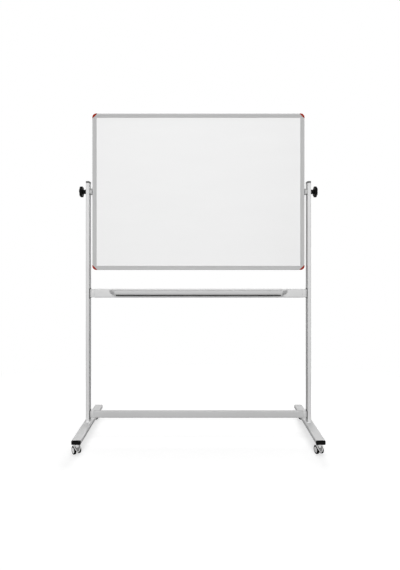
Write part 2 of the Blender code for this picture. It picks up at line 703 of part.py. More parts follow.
def hood_mesh():
    """A caster's hood: a web between the wheels, a guard over them and a socket for the stem.

    The swivel axis is Z, the axle lies at +X, and the guard comes down over the leading side.
    """
    web_half = WHEEL_SPREAD / 2 - HOOD_SIDE_GAP
    axle = (CASTER_TRAIL, WHEEL_RADIUS)
    guard_inside = WHEEL_RADIUS + HOOD_WHEEL_GAP
    guard_outside = guard_inside + HOOD_WALL
    neck_height = WHEEL_RADIUS + guard_inside
    around_axle = arc(axle, HOOD_AXLE_RADIUS, math.radians(-150.0), math.radians(35.0), HOOD_STEPS)
    web_outline = [(-web_half, neck_height), (-web_half, 1.5 * WHEEL_RADIUS)] + around_axle
    web_outline.append((CASTER_TRAIL + web_half, neck_height))
    web = extruded("caster_hood", [web_outline], 2 * web_half)
    web.rotation_euler = ALONG_Y

    inner_arc = arc(axle, guard_inside, HOOD_BACK_ANGLE, HOOD_FRONT_ANGLE, HOOD_STEPS)
    outer_arc = arc(axle, guard_outside, HOOD_FRONT_ANGLE, HOOD_BACK_ANGLE, HOOD_STEPS)
    guard = extruded("join_guard", [inner_arc + outer_arc], 2 * HOOD_HALF_WIDTH)
    guard.rotation_euler = ALONG_Y
    boolean(web, guard, "UNION")

    low = WHEEL_RADIUS - guard_outside
    high = CASTER_HEIGHT
    narrowing = 0.65 * WHEEL_RADIUS
    shoulder = 1.8 * WHEEL_RADIUS
    wide = HOOD_HALF_WIDTH + HOOD_SIDE_GAP
    tip = HOOD_TIP_HALF_WIDTH
    right_half = [(tip, low), (tip, narrowing), (wide, shoulder), (wide, high)]
    left_half = [(-across, up) for across, up in reversed(right_half)]
    shield_outline = right_half + left_half
    shield = extruded("trim_shield", [shield_outline], 4 * guard_outside)
    place(shield, (CASTER_TRAIL, 0.0, 0.0), ALONG_X)
    boolean(web, shield, "INTERSECT")

    wheel_top_at_stem = WHEEL_RADIUS + math.sqrt(guard_inside**2 - CASTER_TRAIL**2)
    socket_profile = [
        (0.0, HOOD_TOP),
        (HOOD_TOP_RADIUS, HOOD_TOP),
        (HOOD_TOP_RADIUS, HOOD_TOP - HOOD_RIM_HEIGHT),
        (web_half, wheel_top_at_stem),
        (web_half, wheel_top_at_stem - HOOD_WALL),
        (0.0, wheel_top_at_stem - HOOD_WALL),
    ]
    socket = turned("join_socket", socket_profile)
    boolean(web, socket, "UNION")

    axle_bore = pin("cut_axle", AXLE_BORE_RADIUS, 4 * web_half)
    place(axle_bore, (CASTER_TRAIL, 0.0, WHEEL_RADIUS), ALONG_Y)
    boolean(web, axle_bore, "DIFFERENCE")
    stem_depth = STEM_PIN_LENGTH + GAP
    stem_bore_length = stem_depth + CUT_MARGIN
    stem_bore = pin("cut_stem", STEM_PIN_DIAMETER / 2 + RUNNING_CLEARANCE, stem_bore_length)
    place(stem_bore, (0.0, 0.0, HOOD_TOP - stem_depth + stem_bore_length / 2))
    boolean(web, stem_bore, "DIFFERENCE")

    bpy.context.view_layer.update()
    mesh = evaluated_mesh(web)
    mesh.transform(web.matrix_world)
    bpy.data.objects.remove(web)
    return closed_mesh(mesh)


def make_caster(place_name, location, heading, hood_shape):
    swivel = pivot(f"swivel_{place_name}", location, (0.0, 0.0, heading))
    hood = bpy.data.objects.new(f"caster_hood_{place_name}", hood_shape.copy())
    PARTS.objects.link(hood)
    place(hood, parent=swivel)
    finish(hood, "hood_grey")

    stem_top = STEM_LENGTH_IN_FOOT + TUBE_WALL
    collar_bottom = -GAP - STEM_COLLAR_THICKNESS
    pin_bottom = collar_bottom - GAP - STEM_PIN_LENGTH
    stem_profile = [
        (0.0, stem_top),
        (STEM_DIAMETER / 2, stem_top),
        (STEM_DIAMETER / 2, -GAP),
        (STEM_COLLAR_DIAMETER / 2, -GAP),
        (STEM_COLLAR_DIAMETER / 2, collar_bottom),
        (STEM_PIN_DIAMETER / 2, collar_bottom),
        (STEM_PIN_DIAMETER / 2, pin_bottom),
        (0.0, pin_bottom),
    ]
    stem = turned(f"caster_stem_{place_name}", stem_profile, steps=PIN_STEPS)
    place(stem, (location[0], location[1], CASTER_HEIGHT))
    finish(stem, "bright_steel", smooth=True)

    wheel_half = WHEEL_WIDTH / 2
    axle_length = WHEEL_SPREAD + 2 * (WHEEL_WIDTH - WHEEL_RECESS)
    axle = pin(f"caster_axle_{place_name}", AXLE_DIAMETER / 2, axle_length)
    place(axle, (CASTER_TRAIL, 0.0, WHEEL_RADIUS), ALONG_Y, swivel)
    finish(axle, "bright_steel", smooth=True)

    wheel_profile = [
        (WHEEL_RADIUS - WHEEL_SHOULDER, wheel_half),
        (WHEEL_RADIUS, wheel_half - WHEEL_SHOULDER),
        (WHEEL_RADIUS, WHEEL_SHOULDER - wheel_half),
        (WHEEL_RADIUS - WHEEL_SHOULDER, -wheel_half),
        (AXLE_BORE_RADIUS, -wheel_half),
        (AXLE_BORE_RADIUS, wheel_half - WHEEL_RECESS),
        (WHEEL_RADIUS - WHEEL_RIM - WHEEL_RECESS, wheel_half - WHEEL_RECESS),
        (WHEEL_RADIUS - WHEEL_RIM, wheel_half),
    ]
    wheel_offset = WHEEL_SPREAD / 2 + wheel_half
    for letter, direction in (("a", 1), ("b", -1)):
        wheel = turned(f"caster_wheel_{place_name}_{letter}", wheel_profile, closed=True)
        wheel_turn = (-direction * QUARTER, 0.0, 0.0)
        place(wheel, (CASTER_TRAIL, direction * wheel_offset, WHEEL_RADIUS), wheel_turn, swivel)
        finish(wheel, "wheel_black", smooth=True)


def make_casters():
    hood_shape = hood_mesh()
    stem_y = FOOT_LENGTH / 2 - CASTER_INSET
    headings = {
        "front_left": FRONT_LEFT_HEADING,
        "front_right": FRONT_RIGHT_HEADING,
        "rear_left": REAR_LEFT_HEADING,
        "rear_right": math.pi - REAR_LEFT_HEADING,
    }
    for end_name, end in ENDS:
        for side_name, side in SIDES:
            place_name = f"{end_name}_{side_name}"
            location = (side * POST_X, end * stem_y, 0.0)
            make_caster(place_name, location, headings[place_name], hood_shape)


make_feet()
make_posts()
make_cross_bar("tray_bar", TRAY_BAR_HEIGHT, TRAY_BAR_CENTRE, TRAY_BAR_END)
make_cross_bar("base_bar", BASE_BAR_HEIGHT, BASE_BAR_CENTRE, BASE_BAR_END)
make_pen_tray()
make_board()
make_pivot_hardware()
make_knob("left", -1, KNOB_LEFT_TURN)
make_knob("right", 1, KNOB_RIGHT_TURN)
make_casters()
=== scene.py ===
import bmesh
import bpy
import json
import math
from mathutils import Matrix, Vector


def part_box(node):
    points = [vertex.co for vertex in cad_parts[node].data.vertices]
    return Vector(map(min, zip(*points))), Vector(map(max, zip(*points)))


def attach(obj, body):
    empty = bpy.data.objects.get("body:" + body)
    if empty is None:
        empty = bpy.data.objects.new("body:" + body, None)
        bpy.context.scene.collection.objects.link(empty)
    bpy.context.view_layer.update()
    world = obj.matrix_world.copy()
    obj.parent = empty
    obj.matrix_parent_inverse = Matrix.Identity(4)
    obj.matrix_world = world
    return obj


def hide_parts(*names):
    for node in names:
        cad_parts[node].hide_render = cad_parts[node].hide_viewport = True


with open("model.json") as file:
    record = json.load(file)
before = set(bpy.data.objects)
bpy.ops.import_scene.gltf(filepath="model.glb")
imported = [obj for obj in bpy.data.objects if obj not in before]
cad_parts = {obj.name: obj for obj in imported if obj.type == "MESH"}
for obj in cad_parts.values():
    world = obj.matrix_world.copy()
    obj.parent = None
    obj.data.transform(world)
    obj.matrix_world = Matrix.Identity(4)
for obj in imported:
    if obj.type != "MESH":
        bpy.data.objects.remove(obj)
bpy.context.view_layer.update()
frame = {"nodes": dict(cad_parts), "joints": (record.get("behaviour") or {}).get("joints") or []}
scene = bpy.context.scene
scene.view_settings.view_transform = "Standard"

mm = 0.001
right, back, up = (1, 0, 0), (0, 1, 0), (0, 0, 1)
sides = (("left", -1), ("right", 1))
ends = (("front", -1), ("rear", 1))
joints = {joint["name"]: joint for joint in frame["joints"]}
sharpAngle = 34  # degrees between faces, past which an edge isn't shaded smooth


# places: a matrix whose own X, Y and Z run along three directions
def placed(x, y, z, at):
    return Matrix([[x[i], y[i], z[i], at[i]] for i in range(3)] + [[0, 0, 0, 1]])


def alongX(at):
    return placed(back, up, right, at)


def facing(end, at):  # own Z runs to the front or the rear
    return placed((-end, 0, 0), up, (0, end, 0), at)


def outwards(side, at):  # own Z runs away from the middle
    return placed((0, side, 0), up, (side, 0, 0), at)


def nodeBox(name):
    low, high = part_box(name)
    return low, high, (low + high) / 2, high - low


def middleAndSize(name):
    return nodeBox(name)[2:]


# outlines: closed lists of flat points, a third number cuts the corner round
def soften(points, steps=4):
    most = 0.49  # the share of an edge that one cut corner may take
    made = []
    for i, point in enumerate(points):
        here = Vector(point[:2])
        if len(point) < 3:
            made.append(tuple(here))
            continue
        before = Vector(points[i - 1][:2]) - here
        after = Vector(points[(i + 1) % len(points)][:2]) - here
        start = here + before.normalized() * min(point[2], before.length * most)
        end = here + after.normalized() * min(point[2], after.length * most)
        for step in range(steps + 1):
            t = step / steps
            made.append(tuple(start.lerp(here, t).lerp(here.lerp(end, t), t)))
    return made


def arc(centre, radius, start, end, steps):
    angles = [math.radians(start + (end - start) * k / steps) for k in range(steps + 1)]
    return [(centre[0] + radius * math.cos(a), centre[1] + radius * math.sin(a)) for a in angles]


def roundBox(width, height, radius, steps=6):
    points = []
    for turn, (across, along) in enumerate(((1, 1), (-1, 1), (-1, -1), (1, -1))):
        centre = (across * (width / 2 - radius), along * (height / 2 - radius))
        points += arc(centre, radius, 90 * turn, 90 * turn + 90, steps)
    return points


def shrink(outline, amount):  # moves an outline inwards, whichever way round it runs
    area = 0
    for i, (x, y) in enumerate(outline):
        area += outline[i - 1][0] * y - x * outline[i - 1][1]
    amount = math.copysign(amount, area)
    least = 0.4  # keeps a sharp corner from running far in
    made = []
    for i, point in enumerate(outline):
        before = Vector(point) - Vector(outline[i - 1])
        after = Vector(outline[(i + 1) % len(outline)]) - Vector(point)
        first = Vector((-before.y, before.x)).normalized()
        second = Vector((-after.y, after.x)).normalized()
        shift = (first + second) * (amount / max(1 + first.dot(second), least))
        made.append((point[0] + shift.x, point[1] + shift.y))
    return made


def lifted(outline, height):
    return [(x, y, height) for x, y in outline]


def boxRing(width, height, corner, inset, z):  # a rounded box drawn in by inset, at one level
    leastCorner = 0.8 * mm
    outline = roundBox(width - 2 * inset, height - 2 * inset, max(corner - inset, leastCorner))
    return lifted(outline, z)


def quarterTurns(count):  # angles from 0 to a right angle
    return [math.pi / 2 * k / count for k in range(count + 1)]


def plainBore(radius, low, high):  # profile of a straight hole
    return [(0, high), (radius, high), (radius, low), (0, low)]


class Shell:  # gathers closed skins into one mesh
    def __init__(self):
        self.bm = bmesh.new()

    def loft(self, rings, place=Matrix(), loop=False):
        rows = [[self.bm.verts.new(place @ Vector(point)) for point in ring] for ring in rings]
        follow = rows[1:] + rows[:1] if loop else rows[1:]
        for one, two in zip(rows, follow):
            count = max(len(one), len(two))
            for i in range(count):
                j = (i + 1) % count
                corners = [one[i % len(one)], one[j % len(one)], two[j % len(two)], two[i % len(two)]]
                self.bm.faces.new(list(dict.fromkeys(corners)))
        if not loop:
            for row in (rows[0], rows[-1]):
                if len(row) > 2:
                    self.bm.faces.new(row)
        return self

    def prism(self, outline, low, high, edge, place=Matrix(), steps=3):
        lower, upper = [], []
        for a in quarterTurns(steps):
            drawnIn = shrink(outline, edge * (1 - math.sin(a)))
            rise = edge * (1 - math.cos(a))
            lower.append(lifted(drawnIn, low + rise))
            upper.insert(0, lifted(drawnIn, high - rise))
        return self.loft(lower + upper, place)

    def tube(self, width, height, radius, wall, length, edge, place):
        half, cut = length / 2, 0.3 * edge  # how far the edge is cut back at its middle
        levels = [(edge, -half), (cut, cut - half), (0, edge - half), (0, half - edge)]
        levels += [(cut, half - cut), (edge, half), (wall, half), (wall, -half)]
        skin = [boxRing(width, height, radius, inset, z) for inset, z in levels]
        return self.loft(skin, place, loop=True)

    def lathe(self, profile, place, steps, loop=False):
        rings = []
        for radius, z in profile:
            turns = [2 * math.pi * k / steps for k in range(steps)] if radius > 0 else [0]
            rings.append([(radius * math.cos(a), radius * math.sin(a), z) for a in turns])
        return self.loft(rings, place, loop)

    def mesh(self, name):
        bmesh.ops.recalc_face_normals(self.bm, faces=self.bm.faces)
        made = bpy.data.meshes.new(name)
        self.bm.to_mesh(made)
        self.bm.free()
        return made


def addPiece(name, mesh, body, material, stands=(), sharp=sharpAngle):
    if isinstance(mesh, Shell):
        mesh = mesh.mesh(name)
    piece = bpy.data.objects.new(name, mesh)
    scene.collection.objects.link(piece)
    mesh.materials.clear()
    mesh.materials.append(material)
    mesh.shade_smooth()
    mesh.set_sharp_from_angle(angle=math.radians(sharp))
    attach(piece, body)
    if stands:
        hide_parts(*stands)
    return piece


def evaluated(host):
    bpy.context.view_layer.update()
    graph = bpy.context.evaluated_depsgraph_get()
    return bpy.data.meshes.new_from_object(host.evaluated_get(graph))


def carved(shell, name, cutters):  # the shell with holes or slots taken out of it
    host = bpy.data.objects.new(name + " blank", shell.mesh(name))
    scene.collection.objects.link(host)
    tools = []
    for cutter in cutters:
        tool = bpy.data.objects.new(name + " cutter", cutter.mesh("cutter"))
        scene.collection.objects.link(tool)
        cut = host.modifiers.new("cut", "BOOLEAN")
        cut.operation, cut.solver, cut.object = "DIFFERENCE", "EXACT", tool
        tools.append(tool)
    mesh = evaluated(host)
    for used in tools + [host]:
        bpy.data.objects.remove(used)
    return mesh


# shader and geometry trees
class Flow:  # a socket that can stand in a sum
    def __init__(self, graph, socket):
        self.graph, self.socket = graph, socket

    def maths(self, operation, first, second):
        return self.graph.add("ShaderNodeMath", {"operation": operation}, {0: first, 1: second})

    def __add__(self, other):
        return self.maths("ADD", self, other)

    def __radd__(self, other):
        return self.maths("ADD", other, self)

    def __sub__(self, other):
        return self.maths("SUBTRACT", self, other)

    def __rsub__(self, other):
        return self.maths("SUBTRACT", other, self)

    def __mul__(self, other):
        return self.maths("MULTIPLY", self, other)

    def __rmul__(self, other):
        return self.maths("MULTIPLY", other, self)


class Graph:
    def __init__(self, tree):
        self.tree = tree

    def add(self, kind, settings=None, inputs=None, out=0):
        node = self.tree.nodes.new(kind)
        for key, value in (settings or {}).items():
            setattr(node, key, value)
        for key, value in (inputs or {}).items():
            for one in value if isinstance(value, list) else [value]:
                if isinstance(one, Flow):
                    self.tree.links.new(one.socket, node.inputs[key])
                else:
                    node.inputs[key].default_value = one
        return Flow(self, node.outputs[out]) if node.outputs else node

    def spot(self, stretch=(1, 1, 1)):  # object coordinates, drawn out or packed along each axis
        place = self.add("ShaderNodeTexCoord", out="Object")
        if stretch == (1, 1, 1):
            return place
        return self.add("ShaderNodeVectorMath", {"operation": "MULTIPLY"}, {0: place, 1: stretch})

    def noise(self, where, scale, detail):
        return self.add("ShaderNodeTexNoise", None, {"Vector": where, "Scale": scale, "Detail": detail})

    def between(self, amount, low, high):  # 0 below low, 1 above high
        return self.add("ShaderNodeMapRange", None, {"Value": amount, "From Min": low, "From Max": high})

    def blend(self, amount, first, second):
        return self.add("ShaderNodeMix", {"data_type": "RGBA"}, {0: amount, 6: first, 7: second}, out=2)

    def bump(self, height, strength, distance):
        values = {"Height": height, "Strength": strength, "Distance": distance}
        return self.add("ShaderNodeBump", None, values)

    def edges(self, radius):  # near 1 on worn outer edges
        rounded = self.add("ShaderNodeBevel", {"samples": 4}, {"Radius": radius})
        plain = self.add("ShaderNodeNewGeometry", out="Normal")
        lined = self.add("ShaderNodeVectorMath", {"operation": "DOT_PRODUCT"},
                         {0: rounded, 1: plain}, out="Value")
        return self.between(1 - lined, low=0.02, high=0.18)

    def surface(self, values):
        shader = self.add("ShaderNodeBsdfPrincipled", None, values)
        self.add("ShaderNodeOutputMaterial", None, {"Surface": shader})


def newFinish(name):
    material = bpy.data.materials.new(name)
    material.use_nodes = True
    material.node_tree.nodes.clear()
    return material, Graph(material.node_tree)


def linear(level):
    c = level / 255
    return c / 12.92 if c <= 0.04045 else ((c + 0.055) / 1.055) ** 2.4


def grey(level):
    return (linear(level), linear(level), linear(level), 1)


def colour(r, g, b):
    return (linear(r), linear(g), linear(b), 1)


paintLook = {"dark": 213, "pale": 223, "worn": -30, "flake": 2600, "peel": 380, "rough": 0.36}
# a darker copy of the silver paint for the base bar: painted shade, for the light falling off lower down
shadedBasePaintLook = {**paintLook, "dark": 190, "pale": 200}


def makePaint(name, look):  # silver powder paint: fine flake under a slightly uneven skin
    material, g = newFinish(name)
    flake = g.noise(g.spot(), scale=look["flake"], detail=1)
    peel = g.noise(g.spot(), scale=look["peel"], detail=2)
    cloud = g.noise(g.spot(), scale=9, detail=3)
    handled = g.between(g.noise(g.spot(), scale=38, detail=4), low=0.56, high=0.74)
    tint = g.blend(0.55 * cloud + 0.45 * flake, grey(look["dark"]), grey(look["pale"]))
    g.surface({
        "Base Color": g.blend(0.06 * handled, tint, grey(look["dark"] + look["worn"])),
        "Roughness": look["rough"] + 0.14 * flake + 0.08 * handled,
        "Metallic": 0.08 * flake,
        "Specular IOR Level": 0.1,
        "Normal": g.bump(peel + 0.35 * flake, strength=0.10, distance=0.5 * mm),
    })
    return material


railMetalLook = {"dark": 182, "pale": 195, "rough": 0.34, "bare": 0.03}  # tones, roughness, bare metal
trayMetalLook = {"dark": 193, "pale": 207, "rough": 0.30, "bare": 0.04}
barEndMetalLook = {"dark": 206, "pale": 222, "rough": 0.34, "bare": 0.42}


def makeBrushed(name, look, stretch):  # anodised extrusion with fine drawn lines
    material, g = newFinish(name)
    broad = tuple(0.4 * share for share in stretch)
    lines = g.noise(g.spot(stretch), scale=1, detail=3)
    cloud = g.noise(g.spot(), scale=12, detail=2)
    scratch = g.between(g.noise(g.spot(broad), scale=1, detail=1), low=0.66, high=0.72)
    tint = g.blend(0.7 * lines + 0.3 * cloud, grey(look["dark"]), grey(look["pale"]))
    g.surface({
        "Base Color": g.blend(0.12 * scratch, tint, grey(look["pale"] + 18)),
        "Roughness": look["rough"] + 0.16 * lines,
        "Metallic": look["bare"] + 0.1 * cloud,
        "Specular IOR Level": 0.12,
        "Normal": g.bump(lines, strength=0.06, distance=0.3 * mm),
    })
    return material


enamelLook = {"dark": 236, "pale": 240, "speck": 190, "rough": 0.15}


def makeEnamel(look):  # glossy writing face, wiped in broad strokes
    material, g = newFinish("white enamel")
    wiped = g.noise(g.spot((2.2, 1, 9)), scale=1, detail=4)
    wave = g.noise(g.spot(), scale=55, detail=2)
    speck = g.between(g.noise(g.spot(), scale=900, detail=1), low=0.72, high=0.80)
    tint = g.blend(wiped, grey(look["dark"]), grey(look["pale"]))
    g.surface({
        "Base Color": g.blend(0.05 * speck, tint, grey(look["speck"])),
        "Roughness": look["rough"] + 0.16 * wiped,
        "Coat Weight": 0.3,
        "Coat Roughness": 0.08,
        "Normal": g.bump(wave, strength=0.02, distance=0.6 * mm),
    })
    return material


def makePlastic(name, base, worn, rough, grain, wear=0.35, gloss=0.35):  # rubbed paler on its edges
    material, g = newFinish(name)
    pits = g.noise(g.spot(), scale=grain, detail=2)
    cloud = g.noise(g.spot(), scale=60, detail=3)
    rubbed = g.edges(1.2 * mm) * g.between(cloud, low=0.42, high=0.68)
    tint = g.blend(0.3 * cloud + 0.2 * pits, base, worn)
    g.surface({
        "Base Color": g.blend(wear * rubbed, tint, worn),
        "Roughness": rough + 0.14 * pits - 0.08 * rubbed,
        "Specular IOR Level": gloss,
        "Normal": g.bump(pits, strength=0.12, distance=0.3 * mm),
    })
    return material


steelLook = {"dark": 176, "pale": 214, "patch": 420.0}


def makeSteel(look):  # zinc-plated turned steel
    material, g = newFinish("zinc steel")
    patch = g.add("ShaderNodeTexVoronoi", {"feature": "F1"}, {"Vector": g.spot(), "Scale": look["patch"]})
    fine = g.noise(g.spot(), scale=1500, detail=2)
    g.surface({
        "Base Color": g.blend(0.6 * patch + 0.3 * fine, grey(look["dark"]), grey(look["pale"])),
        "Roughness": 0.24 + 0.2 * fine,
        "Metallic": 0.86 + 0.1 * fine,
        "Normal": g.bump(fine, strength=0.06, distance=0.2 * mm),
    })
    return material


cardLook = {"dark": (176, 142, 98), "pale": (206, 176, 132), "wall": (120, 92, 60), "cell": 90.0}


def makeCard(look):  # paper honeycomb behind the sheets
    material, g = newFinish("honeycomb card")
    cells = g.add("ShaderNodeTexVoronoi", {"feature": "DISTANCE_TO_EDGE"},
                  {"Vector": g.spot(), "Scale": look["cell"]})
    walls = 1 - g.between(cells, low=0.02, high=0.09)
    fibre = g.noise(g.spot((40, 40, 400)), scale=1, detail=4)
    tint = g.blend(fibre, colour(*look["dark"]), colour(*look["pale"]))
    g.surface({
        "Base Color": g.blend(0.6 * walls, tint, colour(*look["wall"])),
        "Roughness": 0.85 + 0.1 * fibre,
        "Normal": g.bump(walls, strength=0.4, distance=0.6 * mm),
    })
    return material


silverPaint = makePaint("silver paint", paintLook)
# this darker copy of the same paint is painted shade
shadedBasePaint = makePaint("silver paint low down", shadedBasePaintLook)
railAcross = makeBrushed("rail aluminium across", railMetalLook, stretch=(5, 1600, 1600))
railUpright = makeBrushed("rail aluminium upright", railMetalLook, stretch=(1600, 1600, 5))
trayAluminium = makeBrushed("tray aluminium", trayMetalLook, stretch=(5, 1500, 1500))
endMetal = makeBrushed("bar end metal", barEndMetalLook, stretch=(900, 900, 900))
whiteEnamel = makeEnamel(enamelLook)
orangePlastic = makePlastic("orange plastic", colour(140, 30, 12), colour(172, 58, 34),
                            rough=0.36, grain=1400, gloss=0.15)
greyPlastic = makePlastic("grey plastic", grey(98), grey(134), rough=0.46, grain=1700)
blackPlastic = makePlastic("black plastic", grey(3), grey(26), rough=0.40, grain=1600, wear=0.25, gloss=0.07)
blackRubber = makePlastic("black rubber", grey(14), grey(40), rough=0.66, grain=900, gloss=0.2)
# a mid-dark grey standing in for the shadow at the bars' joints: painted shade
shadeGasketRubber = makePlastic("gasket rubber", grey(84), grey(120), rough=0.6, grain=900, gloss=0.1)
treadBlack = makePlastic("wheel tread", grey(3), grey(24), rough=0.60, grain=700, wear=0.3, gloss=0.05)
hoodGrey = makePlastic("caster hood grey", grey(236), grey(246), rough=0.32, grain=1800)
# a darker grey for the guard's middle, standing in for the shade between its raised ribs: painted shade
shadePanelGrey = makePlastic("hood panel grey", grey(120), grey(150), rough=0.40, grain=1800)
wheelFace = makePlastic("wheel face pale", grey(238), grey(250), rough=0.30, grain=1800)
bushPlastic = makePlastic("bush plastic", colour(216, 214, 208), grey(232), rough=0.44, grain=1500)
zincSteel = makeSteel(steelLook)
honeycombCard = makeCard(cardLook)
print("finishes made:", len(bpy.data.materials))


def dress(node, material):  # a CAD node that keeps its shape
    mesh = frame["nodes"][node].data
    mesh.materials.clear()
    mesh.materials.append(material)


# feet and their plugs
footLook = {"wall": 1.5 * mm, "corner": 6 * mm, "edge": 0.5 * mm, "stemHole": 5.3 * mm,
            "holeReach": 5 * mm}


def makeFeet(look):
    for sideName, side in sides:
        node = "foot_" + sideName
        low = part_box(node)[0]
        middle, size = middleAndSize(node)
        shell = Shell().tube(size.x, size.z, look["corner"], look["wall"], size.y, look["edge"],
                             facing(-1, middle))
        holes = []
        for endName, end in ends:
            stem = middleAndSize("caster_stem_" + endName + "_" + sideName)[0]
            bore = plainBore(look["stemHole"], -look["holeReach"], look["holeReach"])
            holes.append(Shell().lathe(bore, Matrix.Translation((stem.x, stem.y, low.z)), steps=48))
        mesh = carved(shell, "foot " + sideName, holes)
        addPiece("footTube_" + sideName, mesh, "stand", silverPaint, [node])


plugLook = {"lead": 0.6 * mm, "leadLength": 0.8 * mm}  # the cut-back end of a plug that slips into a tube


def plugLevels(slip, length):  # insets and levels of a plug below the head that it carries
    lead, leadLength = plugLook["lead"], plugLook["leadLength"]
    return [(slip + lead, -length), (slip, leadLength - length), (slip, 0)]


footCapLook = {"slip": 1.8 * mm, "head": 4 * mm, "rim": 1.5 * mm, "dome": 9 * mm, "corner": 6 * mm,
               "edge": 0.2 * mm, "domeSteps": 7}


def makeFootCaps(look):
    for sideName, side in sides:
        for endName, end in ends:
            node = "foot_cap_" + endName + "_" + sideName
            low, high, middle, size = nodeBox(node)
            outer = low.y if end < 0 else high.y
            head, rim, edge = look["head"], look["rim"], look["edge"]
            levels = plugLevels(look["slip"], size.y - head) + [(edge, 0), (0, edge), (0, rim)]
            for a in quarterTurns(look["domeSteps"])[1:]:  # the rounded outer face
                levels.append((look["dome"] * (1 - math.cos(a)), rim + (head - rim) * math.sin(a)))
            skin = [boxRing(size.x, size.z, look["corner"], inset, z) for inset, z in levels]
            at = facing(end, (middle.x, outer - end * head, middle.z))
            addPiece("footCap_" + endName + "_" + sideName, Shell().loft(skin, at), "stand",
                     blackPlastic, [node])


makeFeet(footLook)
makeFootCaps(footCapLook)
print("feet made")

# posts, their caps and the welds round their bases
postLook = {"wall": 1.5 * mm, "corner": 5 * mm, "edge": 0.5 * mm, "pivotHole": 7.4 * mm}


def makePosts(look):
    pivot = joints["board_flip"]["pos_m"][2]
    for sideName, side in sides:
        node = "post_" + sideName
        middle, size = middleAndSize(node)
        shell = Shell().tube(size.x, size.y, look["corner"], look["wall"], size.z, look["edge"],
                             Matrix.Translation(middle))
        bore = plainBore(look["pivotHole"], -size.x, size.x)
        cutter = Shell().lathe(bore, outwards(side, (middle.x, 0, pivot)), steps=48)
        mesh = carved(shell, "post " + sideName, [cutter])
        addPiece("postTube_" + sideName, mesh, "stand", silverPaint, [node])


postCapLook = {"slip": 1.8 * mm, "head": 11.7 * mm, "corner": 5 * mm, "rim": 0.3 * mm, "edge": 1.6 * mm,
               "edgeSteps": 6, "crown": 0.7 * mm, "crownFoot": 5 * mm, "crownTop": 8.5 * mm}


def makePostCaps(look):
    head, rim, edge, crown = look["head"], look["rim"], look["edge"], look["crown"]
    shoulder = head - crown
    for sideName, side in sides:
        node = "post_cap_" + sideName
        low, high, middle, size = nodeBox(node)
        levels = plugLevels(look["slip"], size.z - head) + [(rim, 0), (0, rim)]
        for a in quarterTurns(look["edgeSteps"]):  # the rounded shoulder
            levels.append((edge * (1 - math.cos(a)), shoulder - edge * (1 - math.sin(a))))
        levels += [(look["crownFoot"], shoulder + 0.6 * crown), (look["crownTop"], head)]
        skin = [boxRing(size.x, size.y, look["corner"], inset, z) for inset, z in levels]
        at = Matrix.Translation((middle.x, 0, high.z - head))
        addPiece("postCap_" + sideName, Shell().loft(skin, at), "stand", greyPlastic, [node])


makePosts(postLook)
makePostCaps(postCapLook)
print("posts made")


class Recipe(Graph):  # a geometry tree with named inputs
    def __init__(self, name, inputs):
        super().__init__(bpy.data.node_groups.new(name, "GeometryNodeTree"))
        self.tree.interface.new_socket("Geometry", in_out="OUTPUT", socket_type="NodeSocketGeometry")
        self.values = {}
        for label, (kind, value) in inputs.items():
            item = self.tree.interface.new_socket(label, in_out="INPUT", socket_type="NodeSocket" + kind)
            self.values[item.identifier] = value
        self.given = self.tree.nodes.new("NodeGroupInput")

    def take(self, label):
        return Flow(self, self.given.outputs[label])

    def vector(self, **shares):
        return self.add("ShaderNodeCombineXYZ", None, shares)

    def row(self, label, count, start, step, turn):  # copies of the object given as label, in a line
        shape = self.add("GeometryNodeObjectInfo", None, {"Object": self.take(label)}, out="Geometry")
        line = self.add("GeometryNodeMeshLine", {"mode": "OFFSET"},
                        {"Count": count, "Start Location": start, "Offset": step})
        return self.add("GeometryNodeInstanceOnPoints", None,
                        {"Points": line, "Instance": shape, "Rotation": turn})

    def end(self, parts, material):
        joined = self.add("GeometryNodeJoinGeometry", None, {"Geometry": parts})
        real = self.add("GeometryNodeRealizeInstances", None, {0: joined})
        done = self.add("GeometryNodeSetMaterial", None, {"Geometry": real, "Material": material})
        self.add("NodeGroupOutput", None, {"Geometry": done})

    def mesh(self):
        host = bpy.data.objects.new(self.tree.name, bpy.data.meshes.new(self.tree.name))
        scene.collection.objects.link(host)
        modifier = host.modifiers.new("recipe", "NODES")
        modifier.node_group = self.tree
        for identifier, value in self.values.items():
            modifier[identifier] = value
        made = evaluated(host)
        host.modifiers.remove(modifier)
        bpy.data.objects.remove(host)
        return made


weldLook = {"bead": 1.9 * mm, "step": 2.4 * mm, "corner": 5.4 * mm, "out": 0.5 * mm,
            "flattened": (0.85, 1.0, 0.75), "cornerPoints": 6, "ballSteps": 2, "sharp": 60}


